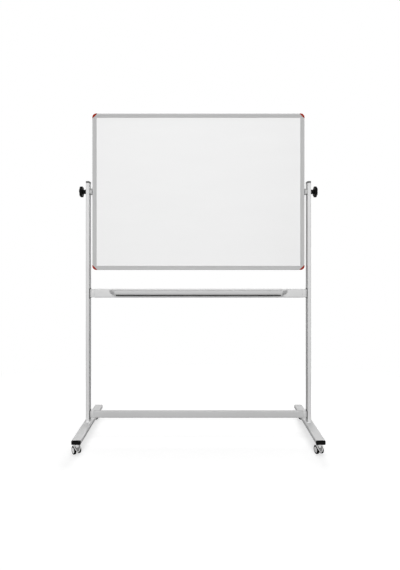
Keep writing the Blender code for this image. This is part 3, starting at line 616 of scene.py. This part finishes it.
def makeWelds(look):  # a run of ripples round the foot of each post
    low, high, middle, size = nodeBox("post_left")
    recipe = Recipe("weld run", {
        "Bead": ("Float", look["bead"]),
        "Step": ("Float", look["step"]),
        "Corner": ("Float", look["corner"]),
        "Width": ("Float", size.x + 2 * look["out"]),
        "Depth": ("Float", size.y + 2 * look["out"]),
        "Reach": ("Float", abs(middle.x)),
        "Height": ("Float", low.z),
    })
    path = recipe.add("GeometryNodeCurvePrimitiveQuadrilateral", None,
                      {"Width": recipe.take("Width"), "Height": recipe.take("Depth")})
    path = recipe.add("GeometryNodeFilletCurve", {"mode": "POLY"},
                      {"Curve": path, "Count": look["cornerPoints"], "Radius": recipe.take("Corner")})
    path = recipe.add("GeometryNodeResampleCurve", {"mode": "LENGTH"},
                      {"Curve": path, "Length": recipe.take("Step")})
    ripple = recipe.add("GeometryNodeMeshIcoSphere", None,
                        {"Radius": recipe.take("Bead"), "Subdivisions": look["ballSteps"]})
    ripple = recipe.add("GeometryNodeSetShadeSmooth", None, {"Geometry": ripple})
    along = recipe.add("GeometryNodeInputTangent")
    turn = recipe.add("FunctionNodeAlignRotationToVector", {"axis": "X"}, {"Vector": along})
    run = recipe.add("GeometryNodeInstanceOnPoints", None,
                     {"Points": path, "Instance": ripple, "Rotation": turn, "Scale": look["flattened"]})
    runs = []
    for sideName, side in sides:
        at = recipe.vector(X=side * recipe.take("Reach"), Z=recipe.take("Height"))
        runs.append(recipe.add("GeometryNodeTransform", None, {"Geometry": run, "Translation": at}))
    recipe.end(runs, silverPaint)
    addPiece("postWelds", recipe.mesh(), "stand", silverPaint, sharp=look["sharp"])


makeWelds(weldLook)
print("welds made")

# cross bars and the plugs that carry them
bars = ("tray_bar", "base_bar")
barEndLook = {"step": 1 * mm, "slip": 1.8 * mm, "corner": 6.5 * mm, "edge": 0.6 * mm, "gap": 0.3 * mm,
              "lead": 1 * mm, "leadLength": 1.5 * mm,
              "waist": 0.5 * mm, "waistFrom": 6 * mm, "waistTo": 4.6 * mm, "waistSlope": 0.4 * mm}


def barEndLevels(look, tail, tip):  # insets and levels from the plug's tail to its tip at the post
    slip, step, edge, gap = look["slip"], look["step"], look["edge"], look["gap"]
    start, end, slope = tip - look["waistFrom"], tip - look["waistTo"], look["waistSlope"]
    narrow = step + look["waist"]
    levels = [(slip + look["lead"], -tail), (slip, look["leadLength"] - tail), (slip, gap)]
    levels += [(step + edge, gap), (step, gap + edge), (step, start), (narrow, start + slope)]
    return levels + [(narrow, end - slope), (step, end), (step, tip - edge), (step + edge, tip)]


barLook = {"wall": 1.5 * mm, "corner": 7 * mm, "edge": 0.4 * mm}


def makeBars(look, endLook):
    for name in bars:
        middle, size = middleAndSize(name)
        pieceName = name.replace("_b", "B")
        shell = Shell().tube(size.y, size.z, look["corner"], look["wall"], size.x, look["edge"],
                             alongX(middle))
        # the base bar takes the darker copy of the paint, which is painted shade
        paint = shadedBasePaint if name == "base_bar" else silverPaint
        addPiece(pieceName + "Tube", shell, "stand", paint, [name])
        for sideName, side in sides:
            node = name + "_end_" + sideName
            endLow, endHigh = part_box(node)
            barEnd = side * size.x / 2
            tip = abs((endHigh.x if side > 0 else endLow.x) - barEnd)
            tail = endHigh.x - endLow.x - tip
            levels = barEndLevels(endLook, tail, tip)
            skin = [boxRing(size.y, size.z, endLook["corner"], inset, z) for inset, z in levels]
            shell = Shell().loft(skin, outwards(side, (barEnd, 0, middle.z)))
            addPiece(pieceName + "End_" + sideName, shell, "stand", endMetal, [node])


# the seats' dark grey is painted shade at the joints between bars and posts
shadeGasketLook = {"thick": 1.2 * mm, "slack": 0.05 * mm, "depth": 44 * mm, "over": 4 * mm, "corner": 4 * mm,
              "edge": 0.4 * mm}


def makeShadeGaskets(look):  # thin dark seats between the bars' ends and the posts: painted shade, standing in for the shadow at each joint
    shell = Shell()
    for name in bars:
        middle, size = middleAndSize(name)
        outline = roundBox(look["depth"], size.z + 2 * look["over"], look["corner"])
        for sideName, side in sides:
            low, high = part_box("post_" + sideName)
            face = min(abs(low.x), abs(high.x)) - look["slack"]
            at = outwards(side, (side * face, 0, middle.z))
            shell.prism(outline, -look["thick"], 0, look["edge"], at)
    addPiece("barGaskets", shell, "stand", shadeGasketRubber)


makeBars(barLook, barEndLook)
makeShadeGaskets(shadeGasketLook)
print("cross bars made")

# bolts through the posts and screws in the tray, instanced from one turned head each
headLook = {"points": 36, "domeSteps": 5, "washerThick": 1 * mm, "washerEdge": 0.2 * mm,
            "rim": 0.6 * mm, "socketDeep": 1.8 * mm}  # what bolts and screws share


def headMesh(look, shared, name):  # a button head with a six-sided socket on a thin washer
    radius, socket, washer = look["radius"], look["socket"], look["washer"]
    seat, rim, edge = shared["washerThick"], shared["rim"], shared["washerEdge"]
    top, flat = look["height"] + seat, 1.5 * socket  # the dome stops at the flat round the socket
    turns = [2 * math.pi * k / shared["points"] for k in range(shared["points"])]

    def circle(r, z):
        return [(r * math.cos(a), r * math.sin(a), z) for a in turns]

    def hexagon(r, z):
        ring = []
        for a in turns:
            bend = math.cos(math.pi / 6) / math.cos(a % (math.pi / 3) - math.pi / 6)
            ring.append((r * bend * math.cos(a), r * bend * math.sin(a), z))
        return ring
    skin = [circle(washer, 0), circle(washer, seat - edge), circle(washer - 1.5 * edge, seat)]
    skin += [circle(radius, seat), circle(radius, seat + rim)]
    for a in quarterTurns(shared["domeSteps"])[1:]:
        z = seat + rim + (top - seat - rim) * math.sin(a)
        skin.append(circle(flat + (radius - flat) * math.cos(a), z))
    skin += [circle(1.25 * socket, top), hexagon(1.1 * socket, top - 0.1 * mm)]
    skin += [hexagon(socket, top - 0.3 * mm), hexagon(socket, top - shared["socketDeep"])]
    return Shell().loft(skin).mesh(name)


def helper(mesh):  # an object for a tree to copy, removed when its tree has run
    made = bpy.data.objects.new(mesh.name, mesh)
    scene.collection.objects.link(made)
    mesh.shade_smooth()
    mesh.set_sharp_from_angle(angle=math.radians(sharpAngle))
    return made


boltLook = {"radius": 6.5 * mm, "height": 3.6 * mm, "socket": 2.9 * mm, "washer": 8.5 * mm}
barBolts = {"count": 2, "trayGap": 26 * mm, "baseGap": 20 * mm}


def makeBolts(look, rows):
    head = helper(headMesh(look, headLook, "bolt head"))
    recipe = Recipe("bar bolts", {
        "Bolt": ("Object", head),
        "Count": ("Int", rows["count"]),
        "Reach": ("Float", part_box("post_right")[1].x),
        "Tray height": ("Float", middleAndSize("tray_bar")[0].z),
        "Tray gap": ("Float", rows["trayGap"]),
        "Base height": ("Float", middleAndSize("base_bar")[0].z),
        "Base gap": ("Float", rows["baseGap"]),
    })
    parts = []
    for sideName, side in sides:
        for bar in ("Tray", "Base"):
            gap = recipe.take(bar + " gap")
            lowest = recipe.take(bar + " height") - 0.5 * gap
            start = recipe.vector(X=side * recipe.take("Reach"), Z=lowest)
            turn = (0, side * math.pi / 2, 0)
            parts.append(recipe.row("Bolt", recipe.take("Count"), start, recipe.vector(Z=gap), turn))
    recipe.end(parts, zincSteel)
    addPiece("barBolts", recipe.mesh(), "stand", zincSteel)
    bpy.data.objects.remove(head)


screwLook = {"radius": 4.0 * mm, "height": 2.2 * mm, "socket": 1.5 * mm, "washer": 4.2 * mm}
trayScrews = {"count": 5, "first": -0.4, "gap": 0.2, "rise": 15 * mm}


def makeTrayScrews(look, row, wall):
    head = helper(headMesh(look, headLook, "screw head"))
    low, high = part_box("pen_tray")
    recipe = Recipe("tray screws", {
        "Screw": ("Object", head),
        "Count": ("Int", row["count"]),
        "First": ("Float", row["first"]),
        "Gap": ("Float", row["gap"]),
        "Back": ("Float", high.y - wall),
        "Height": ("Float", low.z + row["rise"]),
    })
    start = recipe.vector(X=recipe.take("First"), Y=recipe.take("Back"), Z=recipe.take("Height"))
    step = recipe.vector(X=recipe.take("Gap"))
    heads = recipe.row("Screw", recipe.take("Count"), start, step, (math.pi / 2, 0, 0))
    recipe.end([heads], zincSteel)
    addPiece("trayScrews", recipe.mesh(), "stand", zincSteel)
    bpy.data.objects.remove(head)


# pen tray, whose front and ends curve in to its floor, and the strip under its front edge
trayLook = {"frontLength": 0.940, "wall": 1.5 * mm, "curve": 18 * mm, "curveSteps": 10, "corner": 5 * mm,
            "hem": 5 * mm, "roll": 5 * mm, "edge": 2 * mm}


def makeTray(look):
    low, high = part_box("pen_tray")
    size = high - low
    depth, height, wall, curve = size.y, size.z, look["wall"], look["curve"]
    slope = (size.x - look["frontLength"]) / 2 / depth
    hem, roll, edge = look["hem"], look["roll"], look["edge"]

    def ring(inset, behind, z):  # the outline from above at one level
        widest = size.x / 2 - inset * math.hypot(1, slope)
        front, corner = depth - inset, look["corner"]
        backHalf, frontHalf = widest - slope * behind, widest - slope * front
        plan = [(-backHalf, -behind), (-frontHalf, -front, corner)]
        plan += [(frontHalf, -front, corner), (backHalf, -behind)]
        return [(x, high.y + y, low.z + z) for x, y in soften(plan, steps=5)]
    turns = quarterTurns(look["curveSteps"])
    skin = [ring(curve - curve * math.sin(a), 0, curve - curve * math.cos(a)) for a in turns]
    cut, lean = 0.3 * edge, 0.2 * mm  # how the rolled edge is rounded, and leans in at its ends
    skin += [ring(0, 0, height - edge), ring(cut, lean, height - cut), ring(edge, 2 * lean, height)]
    skin += [ring(hem - edge, wall - 2 * lean, height), ring(hem - cut, wall - lean, height - cut)]
    skin += [ring(hem, wall, height - edge), ring(hem, wall, height - roll + edge)]
    skin += [ring(hem - edge, wall, height - roll), ring(wall, wall, height - roll - 0.5 * mm)]
    inner = curve - wall
    skin += [ring(curve - inner * math.cos(a), wall, curve - inner * math.sin(a)) for a in turns]
    addPiece("penTray", Shell().loft(skin), "stand", trayAluminium, ["pen_tray"])


trimLook = {"inner": 18.3 * mm, "thick": 2.5 * mm, "start": -72, "end": -42, "steps": 14, "edge": 0.5 * mm}


def makeTrim(look, curve):  # follows the tray's lower front curve
    low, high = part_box("pen_tray")
    centre, steps = (high.y - low.y - curve, curve), look["steps"]
    outline = arc(centre, look["inner"], look["start"], look["end"], steps)
    for k in range(steps, -1, -1):
        fullness = 1 - 0.85 * abs(2 * k / steps - 1) ** 6  # thins out at both edges
        a = math.radians(look["start"] + (look["end"] - look["start"]) * k / steps)
        r = look["inner"] + look["thick"] * fullness
        outline.append((centre[0] + r * math.cos(a), centre[1] + r * math.sin(a)))
    half, edge = middleAndSize("tray_edge_trim")[1].x / 2, look["edge"]
    rings = []
    for x, inset in ((-half, edge), (edge - half, 0), (half - edge, 0), (half, edge)):
        rings.append([(x, high.y - d, low.z + z) for d, z in shrink(outline, inset)])
    addPiece("trayTrim", Shell().loft(rings), "stand", blackRubber, ["tray_edge_trim"])


makeTray(trayLook)
makeTrim(trimLook, trayLook["curve"])
makeBolts(boltLook, barBolts)
makeTrayScrews(screwLook, trayScrews, trayLook["wall"])
print("tray, bolts and screws made")

# board: rails with a drawn groove, corner caps, sheets and core
railLook = {"face": 24 * mm, "channel": 10 * mm, "lip": 8.1 * mm, "edge": 5 * mm, "groove": 14.2 * mm,
            "grooveWide": 3.4 * mm, "grooveDeep": 1.9 * mm, "grooveSlope": 0.4 * mm, "pillow": 5.4 * mm,
            "mitre": 0.21 * mm, "slant": 30.42 * mm}
topAndBottom = (("top", 1), ("bottom", -1))


def railSection(look, depth):
    half, face, groove, pillow = depth / 2, look["face"], look["groove"], look["pillow"]
    far, floor, slope = groove + look["grooveWide"], look["grooveDeep"] - half, look["grooveSlope"]
    front = [(0, half, look["edge"]), (0, -half, look["edge"])]
    front += [(groove, -half, 0.5 * mm), (groove + slope, floor, 0.3 * mm)]
    front += [(far - slope, floor, 0.3 * mm), (far, -half, 0.8 * mm)]
    front += arc((face - 0.87 * pillow, pillow - half), pillow, -90, -30, steps=7) + [(face, -look["lip"])]
    inside = [(look["channel"], -look["lip"]), (look["channel"], look["lip"])]
    rear = [(u, -v, *cut) for u, v, *cut in reversed(front[2:])]
    return soften(front + inside + rear)


def fromCorner(outline, corner, side, lift):  # both numbers run inwards from the board's corner
    return [(corner[0] - side * a, corner[1] - lift * b) for a, b in outline]


def mitreCutter(look, corner, side, lift, lyingDown):  # what a rail loses at a corner
    gap, slant, past = look["mitre"], look["slant"], 4 * mm
    deep = look["face"] + past
    lost = [(-past, -past), (slant + past, -past), ((slant + gap) / 2, (slant - gap) / 2)]
    lost += [(deep + gap, deep), (-past, deep)]
    if not lyingDown:
        lost = [(b, a) for a, b in lost]
    lost = fromCorner(lost, corner, side, lift)
    reach = 20 * mm  # well past the rail's faces
    return Shell().loft([lifted(lost, -reach), lifted(lost, reach)], facing(-1, (0, 0, 0)))


def makeRails(look):
    section = railSection(look, middleAndSize("frame_top")[1].y)
    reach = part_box("frame_right")[1].x
    edges = {"top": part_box("frame_top")[1].z, "bottom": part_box("frame_bottom")[0].z}

    def rail(name, outline, low, high, place, cutters, material):
        shell = Shell().loft([lifted(outline, low), lifted(outline, high)], place)
        mesh = carved(shell, "rail " + name, cutters)
        addPiece("rail" + name.title(), mesh, "board", material, ["frame_" + name])
    for upName, lift in topAndBottom:
        edge = edges[upName]
        cutters = [mitreCutter(look, (side * reach, edge), side, lift, True) for sideName, side in sides]
        outline = [(v, -lift * u) for u, v in section]
        rail(upName, outline, -reach, reach, alongX((0, 0, edge)), cutters, railAcross)
    for sideName, side in sides:
        cutters = []
        for upName, lift in topAndBottom:
            cutters.append(mitreCutter(look, (side * reach, edges[upName]), side, lift, False))
        outline = [(-side * u, v) for u, v in section]
        at = Matrix.Translation((side * reach, 0, 0))
        rail(sideName, outline, edges["bottom"], edges["top"], at, cutters, railUpright)


cornerLook = {"leg": 30 * mm, "radius": 23 * mm, "tip": 1.4 * mm, "edge": 1.1 * mm}


def makeCorners(look, channel, lip):
    leg, radius, tip = look["leg"], look["radius"], look["tip"]
    inset = leg - tip * (1 + math.sqrt(2))  # centres of the two rounded tips
    outline = arc((radius, radius), radius, 180, 270, steps=14)
    outline += arc((inset, tip), tip, -90, 45, steps=6) + arc((tip, inset), tip, 45, 180, steps=6)
    far = channel + leg + 6 * mm  # well past the cap
    slot = [(channel, channel), (far, channel), (far, far), (channel, far)]
    for upName, lift in topAndBottom:
        for sideName, side in sides:
            node = "corner_cap_" + upName + "_" + sideName
            low, high, middle, size = nodeBox(node)
            corner = (high.x if side > 0 else low.x, high.z if lift > 0 else low.z)
            half, at = size.y / 2, facing(-1, (0, middle.y, 0))
            whole = fromCorner(outline, corner, side, lift)
            shell = Shell().prism(whole, -half, half, look["edge"], at, steps=4)
            taken = fromCorner(slot, corner, side, lift)  # room for the sheets and the core
            cutter = Shell().loft([lifted(taken, -lip), lifted(taken, lip)], at)
            mesh = carved(shell, node, [cutter])
            addPiece("cornerCap_" + upName + "_" + sideName, mesh, "board", orangePlastic,
                     [node])


makeRails(railLook)
makeCorners(cornerLook, railLook["channel"], railLook["lip"])
for face in ("front", "back"):
    dress("writing_sheet_" + face, whiteEnamel)
dress("board_core", honeycombCard)
print("board made")

# pivots: block on the board, bush and washer in the post, knob on its screw


def innerPlace(node, side):  # own Z runs outwards from the node's inner face
    low, high, middle, size = nodeBox(node)
    return outwards(side, (low.x if side > 0 else high.x, 0, middle.z))


blockLook = {"radius": 19 * mm, "floor": 1.5 * mm, "bore": 5.1 * mm, "edge": 1.6 * mm, "groove": 0.7 * mm,
             "grooveFrom": 0.26, "grooveTo": 0.42, "grooveSlope": 0.04}  # shares of its thickness


def blockProfile(look, thick):
    radius, bore, waist = look["radius"], look["bore"], look["radius"] - look["groove"]
    start, end, slope = look["grooveFrom"], look["grooveTo"], look["grooveSlope"]
    outside = [(radius, thick, look["edge"])]
    for r, share in ((radius, end), (waist, end - slope), (waist, start + slope), (radius, start)):
        outside.append((r, thick * share, 0.3 * mm))
    outside.append((radius, 0, 0.6 * mm))
    return soften([(0, look["floor"]), (bore, look["floor"]), (bore, thick, 0.3 * mm)] + outside + [(0, 0)])


bushLook = {"flange": 16 * mm, "thick": 1.7 * mm, "sleeve": 7.1 * mm, "bore": 5.1 * mm}


def bushProfile(look, length):
    flange, thick, sleeve, bore = look["flange"], look["thick"], look["sleeve"], look["bore"]
    outside = [(sleeve, length, 0.4 * mm), (sleeve, thick, 0.3 * mm), (flange, thick, 0.4 * mm)]
    return soften(outside + [(flange, 0, 0.4 * mm), (bore, 0, 0.3 * mm), (bore, length, 0.3 * mm)])


washerLook = {"radius": 12 * mm, "bore": 5.3 * mm}


def washerProfile(look, thick):
    radius, bore = look["radius"], look["bore"]
    return soften([(radius, thick, 0.3 * mm), (radius, 0, 0.3 * mm), (bore, 0, 0.2 * mm),
                   (bore, thick, 0.2 * mm)])


def makePivots():
    for sideName, side in sides:
        node = "pivot_block_" + sideName
        profile = blockProfile(blockLook, middleAndSize(node)[1].x)
        shell = Shell().lathe(profile, innerPlace(node, side), steps=72)
        addPiece("pivotBlock_" + sideName, shell, "board", zincSteel, [node])

        node = "pivot_bush_" + sideName
        profile = bushProfile(bushLook, middleAndSize(node)[1].x)
        shell = Shell().lathe(profile, innerPlace(node, side), steps=64, loop=True)
        addPiece("pivotBush_" + sideName, shell, "stand", bushPlastic, [node])

        node = "knob_washer_" + sideName
        profile = washerProfile(washerLook, middleAndSize(node)[1].x)
        shell = Shell().lathe(profile, innerPlace(node, side), steps=64, loop=True)
        addPiece("knobWasher_" + sideName, shell, "stand", zincSteel, [node])


knobLook = {"lobes": 6, "depth": 4.4 * mm, "breadth": 2.6, "left": 8, "right": 31, "points": 120,
            "bore": 5.3 * mm, "boreDeep": 28 * mm}
knobProfile = (  # radius, distance from the washer, share of the lobes
    (10.6, 0.0, 0), (12.8, 0.3, 0), (13.6, 1.2, 0), (13.7, 3.0, 0), (12.9, 6.0, 0), (12.4, 10.0, 0),
    (12.6, 14.0, 0), (13.6, 16.8, 0), (16.0, 18.4, 0.1), (20.0, 19.0, 0.4), (25.0, 19.3, 0.8),
    (29.4, 19.5, 1), (30.8, 20.0, 1), (31.4, 20.9, 1), (31.5, 22.4, 1), (31.5, 27.0, 1), (31.4, 31.4, 1),
    (31.1, 33.0, 1), (30.2, 34.1, 1), (28.2, 34.8, 0.9), (22.0, 35.1, 0.5), (16.4, 35.4, 0.15),
    (13.4, 35.5, 0), (12.9, 35.3, 0), (12.6, 34.7, 0), (12.3, 34.4, 0), (11.8, 34.5, 0), (8.0, 34.8, 0),
    (0.0, 34.9, 0),
)


def makeKnobs(look):
    turns = [2 * math.pi * k / look["points"] for k in range(look["points"])]
    for sideName, side in sides:
        node = "knob_" + sideName
        at = innerPlace(node, side)
        rings = []
        for radius, z, share in knobProfile:
            ring = []
            for a in turns if radius else turns[:1]:
                dip = 0.5 - 0.5 * math.cos(look["lobes"] * a)
                r = radius * mm - share * look["depth"] * dip ** look["breadth"]
                a += math.radians(look[sideName])
                ring.append((r * math.cos(a), r * math.sin(a), z * mm))
            rings.append(ring)
        bore = plainBore(look["bore"], -4 * mm, look["boreDeep"])
        cutter = Shell().lathe(bore, at, steps=40)
        mesh = carved(Shell().loft(rings, at), "knob " + sideName, [cutter])
        addPiece("starKnob_" + sideName, mesh, "clamp_" + sideName, blackPlastic, [node])
        dress("knob_screw_" + sideName, zincSteel)


makePivots()
makeKnobs(knobLook)
print("pivots and knobs made")

# casters: each built about its own swivel axis, with the axle towards own +X
hoodLook = {"trail": 10 * mm, "axle": 21 * mm, "inner": 22.2 * mm, "wall": 2 * mm, "wide": 17.5 * mm,
            "tip": 3.5 * mm, "tipHeight": 13.6 * mm, "wideHeight": 37.8 * mm, "back": 14, "front": 198,
            "rib": 2.8 * mm, "sunk": 1.0 * mm, "steps": 44, "tipSteps": 3}
shadePanelLook = {"from": 24, "to": 42, "gap": 0.6 * mm, "half": 0.3 * mm}  # a dark inlay as painted shade in the guard's middle; it covers these steps of the guard


def makeGuard(look, shadeInlay, shell, at):  # the guard over the wheels, and the rings of its dark inlay, which is painted shade
    steps, axle = look["steps"], (look["trail"], look["axle"])
    middle, out = look["inner"] + look["wall"] / 2, look["wall"] / 2
    sunk, thin = out - look["sunk"], shadeInlay["half"]
    rings, panel = [], []

    def bent(section, a):  # a flat section stood across the guard
        placedPoints = []
        for x, y in section:
            r = middle + x
            placedPoints.append((axle[0] + r * math.cos(a), y, axle[1] + r * math.sin(a)))
        return placedPoints
    for k in range(steps + 1):  # it narrows down its leading side
        a = math.radians(look["back"] + (look["front"] - look["back"]) * k / steps)
        height = axle[1] + middle * math.sin(a)
        share = min(max((height - look["tipHeight"]) / (look["wideHeight"] - look["tipHeight"]), 0), 1)
        half = look["tip"] + (look["wide"] - look["tip"]) * share
        half *= 1 - 0.5 * max(0, (k - steps + look["tipSteps"]) / look["tipSteps"])
        flat = max(half - look["rib"], 0.4 * half)
        edge = [(-out, half, 0.4 * mm), (out, half, 0.7 * mm), (out, flat, 0.3 * mm)]
        edge.append((sunk, flat - 0.4 * mm))
        mirrored = [(x, -y, *cut) for x, y, *cut in reversed(edge)]
        rings.append(bent(soften(edge + mirrored, steps=3), a))
        if shadeInlay["from"] <= k <= shadeInlay["to"]:
            flat -= shadeInlay["gap"]
            low, high = sunk - thin, sunk + thin
            panel.append(bent([(low, flat), (high, flat), (high, -flat), (low, -flat)], a))
    shell.loft(rings, at)
    return panel


webLook = {"half": 6.5 * mm, "top": 43 * mm, "foot": 31 * mm, "boss": 8 * mm, "edge": 0.8 * mm}
neckLook = {"top": 55.4 * mm, "radius": 12 * mm, "thick": 5.5 * mm, "waist": 40.8 * mm, "foot": 37 * mm,
            "bore": 4.1 * mm, "boreDeep": 14.3 * mm}


def makeHood(name, at):
    shell = Shell()
    panel = makeGuard(hoodLook, shadePanelLook, shell, at)
    axle = (hoodLook["trail"], hoodLook["axle"])
    half, top = webLook["half"], webLook["top"]
    web = [(-half, top, 1 * mm), (-half, webLook["foot"], 4 * mm)]
    web += arc(axle, webLook["boss"], -150, 35, steps=16) + [(axle[0] + half, top, 1 * mm)]
    upright = placed(right, up, (0, -1, 0), (0, 0, 0))
    shell.prism(soften(web), -half, half, webLook["edge"], at @ upright)
    top, radius, bore = neckLook["top"], neckLook["radius"], neckLook["bore"]
    floor = top - neckLook["boreDeep"]
    neck = [(0, floor), (bore, floor), (bore, top, 0.3 * mm), (radius, top, 1 * mm)]
    neck += [(radius, top - neckLook["thick"], 1.5 * mm), (half, neckLook["waist"], 1 * mm)]
    neck += [(half, neckLook["foot"]), (0, neckLook["foot"])]
    shell.lathe(soften(neck), at, steps=48)
    addPiece("hood_" + name, shell, "caster_" + name, hoodGrey, ["caster_hood_" + name])
    # the dark inlay stands in for the shade in the guard's middle: painted shade
    addPiece("hoodPanel_" + name, Shell().loft(panel, at), "caster_" + name, shadePanelGrey)


wheelLook = {"radius": 21 * mm, "half": 6 * mm, "spread": 7 * mm, "bore": 3.1 * mm, "rim": 15.1 * mm,
             "recess": 14.7 * mm, "recessFloor": 4.0 * mm}
wheelFaceProfile = (  # radius, distance from the wheel's middle, rounding
    (0, 4.9), (2.6, 4.9, 0.4), (3.6, 5.9, 0.5), (10.6, 5.9, 0.5), (11.2, 5.3, 0.3), (12.2, 5.3, 0.3),
    (12.8, 5.9, 0.5), (14.4, 5.7, 0.7), (14.4, 4.3), (0, 4.3),
)


def makeWheel(look, name, at):
    radius, half, bore = look["radius"], look["half"], look["bore"]
    recess, floor = look["recess"], look["recessFloor"]
    tread = [(look["rim"], half, 0.5 * mm), (radius, half, 3.2 * mm), (radius, -half, 2.6 * mm)]
    tread += [(bore, -half, 0.4 * mm), (bore, floor), (recess, floor), (recess, half - 0.4 * mm)]
    shell = Shell().lathe(soften(tread), at, steps=72, loop=True)
    addPiece("tread_" + name, shell, "wheel_" + name, treadBlack, ["caster_wheel_" + name])
    face = soften([tuple(size * mm for size in point) for point in wheelFaceProfile])
    shell = Shell().lathe(face, at, steps=72)
    addPiece("wheelFace_" + name, shell, "wheel_" + name, wheelFace)


stemLook = {"under": 58 * mm, "gap": 0.3 * mm, "upper": 5 * mm, "collar": 8 * mm, "collarThick": 2 * mm,
            "lower": 4 * mm}


def makeStem(look, name):
    node = "caster_stem_" + name
    low, high, middle, size = nodeBox(node)
    upper, collar, lower = look["upper"], look["collar"], look["lower"]
    seat = look["under"] - low.z - look["gap"]  # just under the foot
    below = seat - look["collarThick"]
    profile = [(0, size.z), (upper, size.z, 0.8 * mm), (upper, seat, 0.2 * mm), (collar, seat, 0.4 * mm)]
    profile += [(collar, below, 0.4 * mm), (lower, below, 0.2 * mm), (lower, 0, 0.6 * mm), (0, 0)]
    shell = Shell().lathe(soften(profile), Matrix.Translation((middle.x, middle.y, low.z)), steps=40)
    addPiece("stem_" + name, shell, "stand", zincSteel, [node])


for endName, end in ends:
    for sideName, side in sides:
        name = endName + "_" + sideName
        swivel = joints["caster_" + name + "_swivel"]["pos_m"]
        axis = joints["wheel_" + name + "_a_spin"]["axis"]
        forward = (axis[1], -axis[0], 0)
        at = placed(forward, tuple(axis), up, (swivel[0], swivel[1], 0))
        makeHood(name, at)
        makeStem(stemLook, name)
        dress("caster_axle_" + name, zincSteel)
        reach = wheelLook["spread"] + wheelLook["half"]
        for letter, turn in (("a", 1), ("b", -1)):
            centre = (hoodLook["trail"], turn * reach, hoodLook["axle"])
            own = placed((turn, 0, 0), (0, 0, -1), (0, turn, 0), centre)
            makeWheel(wheelLook, name + "_" + letter, at @ own)
print("casters made")

# floor, light and camera
stageLook = {"floor": 9.0, "thick": 0.02, "floorTone": 0.08, "sky": 0.12,
             "pale": 0.5, "glow": 0.62, "near": 0.7, "far": 1.5, "narrow": (0.55, 1, 1)}  # shadow's ground


def seenDirectly(graph):  # 1 for rays from the camera, and for those that metal and glass send on
    seen = graph.add("ShaderNodeLightPath", out="Is Camera Ray")
    for name in ("Is Glossy Ray", "Is Transmission Ray"):
        ray = graph.add("ShaderNodeLightPath", out=name)
        seen = graph.add("ShaderNodeMath", {"operation": "MAXIMUM"}, {0: seen, 1: ray})
    return seen


def makeFloor(look):
    half = look["floor"]
    outline = [(-half, -half), (half, -half), (half, half), (-half, half)]
    mesh = Shell().loft([lifted(outline, -look["thick"]), lifted(outline, 0)]).mesh("floor")
    floor = bpy.data.objects.new("floor", mesh)
    scene.collection.objects.link(floor)
    material, g = newFinish("pale floor")
    plain = g.add("ShaderNodeBsdfDiffuse", None, {"Color": (look["floorTone"],) * 3 + (1,)})
    pale = g.add("ShaderNodeBsdfDiffuse", None, {"Color": (look["pale"],) * 3 + (1,)})
    glow = g.add("ShaderNodeEmission", None, {"Color": (1, 1, 1, 1), "Strength": look["glow"]})
    under = g.add("ShaderNodeAddShader", None, {0: pale, 1: glow})  # keeps the shadow
    white = g.add("ShaderNodeEmission", None, {"Color": (1, 1, 1, 1), "Strength": 1.0})
    reach = g.add("ShaderNodeVectorMath", {"operation": "LENGTH"}, {0: g.spot(look["narrow"])}, out="Value")
    away = g.between(reach, look["near"], look["far"])
    shown = g.add("ShaderNodeMixShader", None, {0: away, 1: under, 2: white})
    mixed = g.add("ShaderNodeMixShader", None, {0: seenDirectly(g), 1: plain, 2: shown})
    g.add("ShaderNodeOutputMaterial", None, {"Surface": mixed})
    mesh.materials.append(material)


def makeSky(look):
    world = bpy.data.worlds.new("studio")
    scene.world = world
    world.use_nodes = True
    world.node_tree.nodes.clear()
    g = Graph(world.node_tree)
    soft = g.add("ShaderNodeBackground", None, {"Color": (1, 1, 1, 1), "Strength": look["sky"]})
    white = g.add("ShaderNodeBackground", None, {"Color": (1, 1, 1, 1), "Strength": 1.0})
    mixed = g.add("ShaderNodeMixShader", None, {0: seenDirectly(g), 1: soft, 2: white})
    g.add("ShaderNodeOutputWorld", None, {"Surface": mixed})


lampLook = (  # name, place, aim, width, watts
    ("key", (-0.3, -8.6, 2.7), (0, 0, 1.1), 5.0, 690),
    ("fill", (4.0, -6.4, 2.2), (0, 0, 1.0), 4.0, 10),
    ("top", (0, 0.2, 6.8), (0, 0, 0.9), 4.0, 158),
    ("behind", (1.0, 7.6, 3.8), (0, 0, 1.1), 4.0, 430),
)


def makeLamps(lamps):
    for name, place, aim, width, watts in lamps:
        lamp = bpy.data.lights.new(name, "AREA")
        lamp.shape, lamp.size, lamp.energy = "SQUARE", width, watts
        holder = bpy.data.objects.new(name, lamp)
        scene.collection.objects.link(holder)
        holder.location = place
        holder.rotation_euler = (Vector(aim) - Vector(place)).to_track_quat("-Z", "Y").to_euler()
        holder.visible_camera = False
        holder.visible_glossy = False


cameraLook = {"place": (0, -2.525, 1.084), "focal": 437.5, "tall": 570, "wide": 400,
              "centre": (198.43, 247.0), "sensor": 36}  # picture sizes in pixels


def makeCamera(look):
    view = bpy.data.cameras.new("view")
    holder = bpy.data.objects.new("view", view)
    scene.collection.objects.link(holder)
    holder.location = look["place"]
    holder.rotation_euler = (math.pi / 2, 0, 0)
    view.sensor_width = look["sensor"]
    view.lens = look["focal"] * look["sensor"] / look["tall"]
    view.shift_x = (look["wide"] / 2 - look["centre"][0]) / look["tall"]
    view.shift_y = (look["centre"][1] - look["tall"] / 2) / look["tall"]
    scene.camera = holder


makeFloor(stageLook)
makeSky(stageLook)
makeLamps(lampLook)
makeCamera(cameraLook)
print("stage, lamps and camera set")
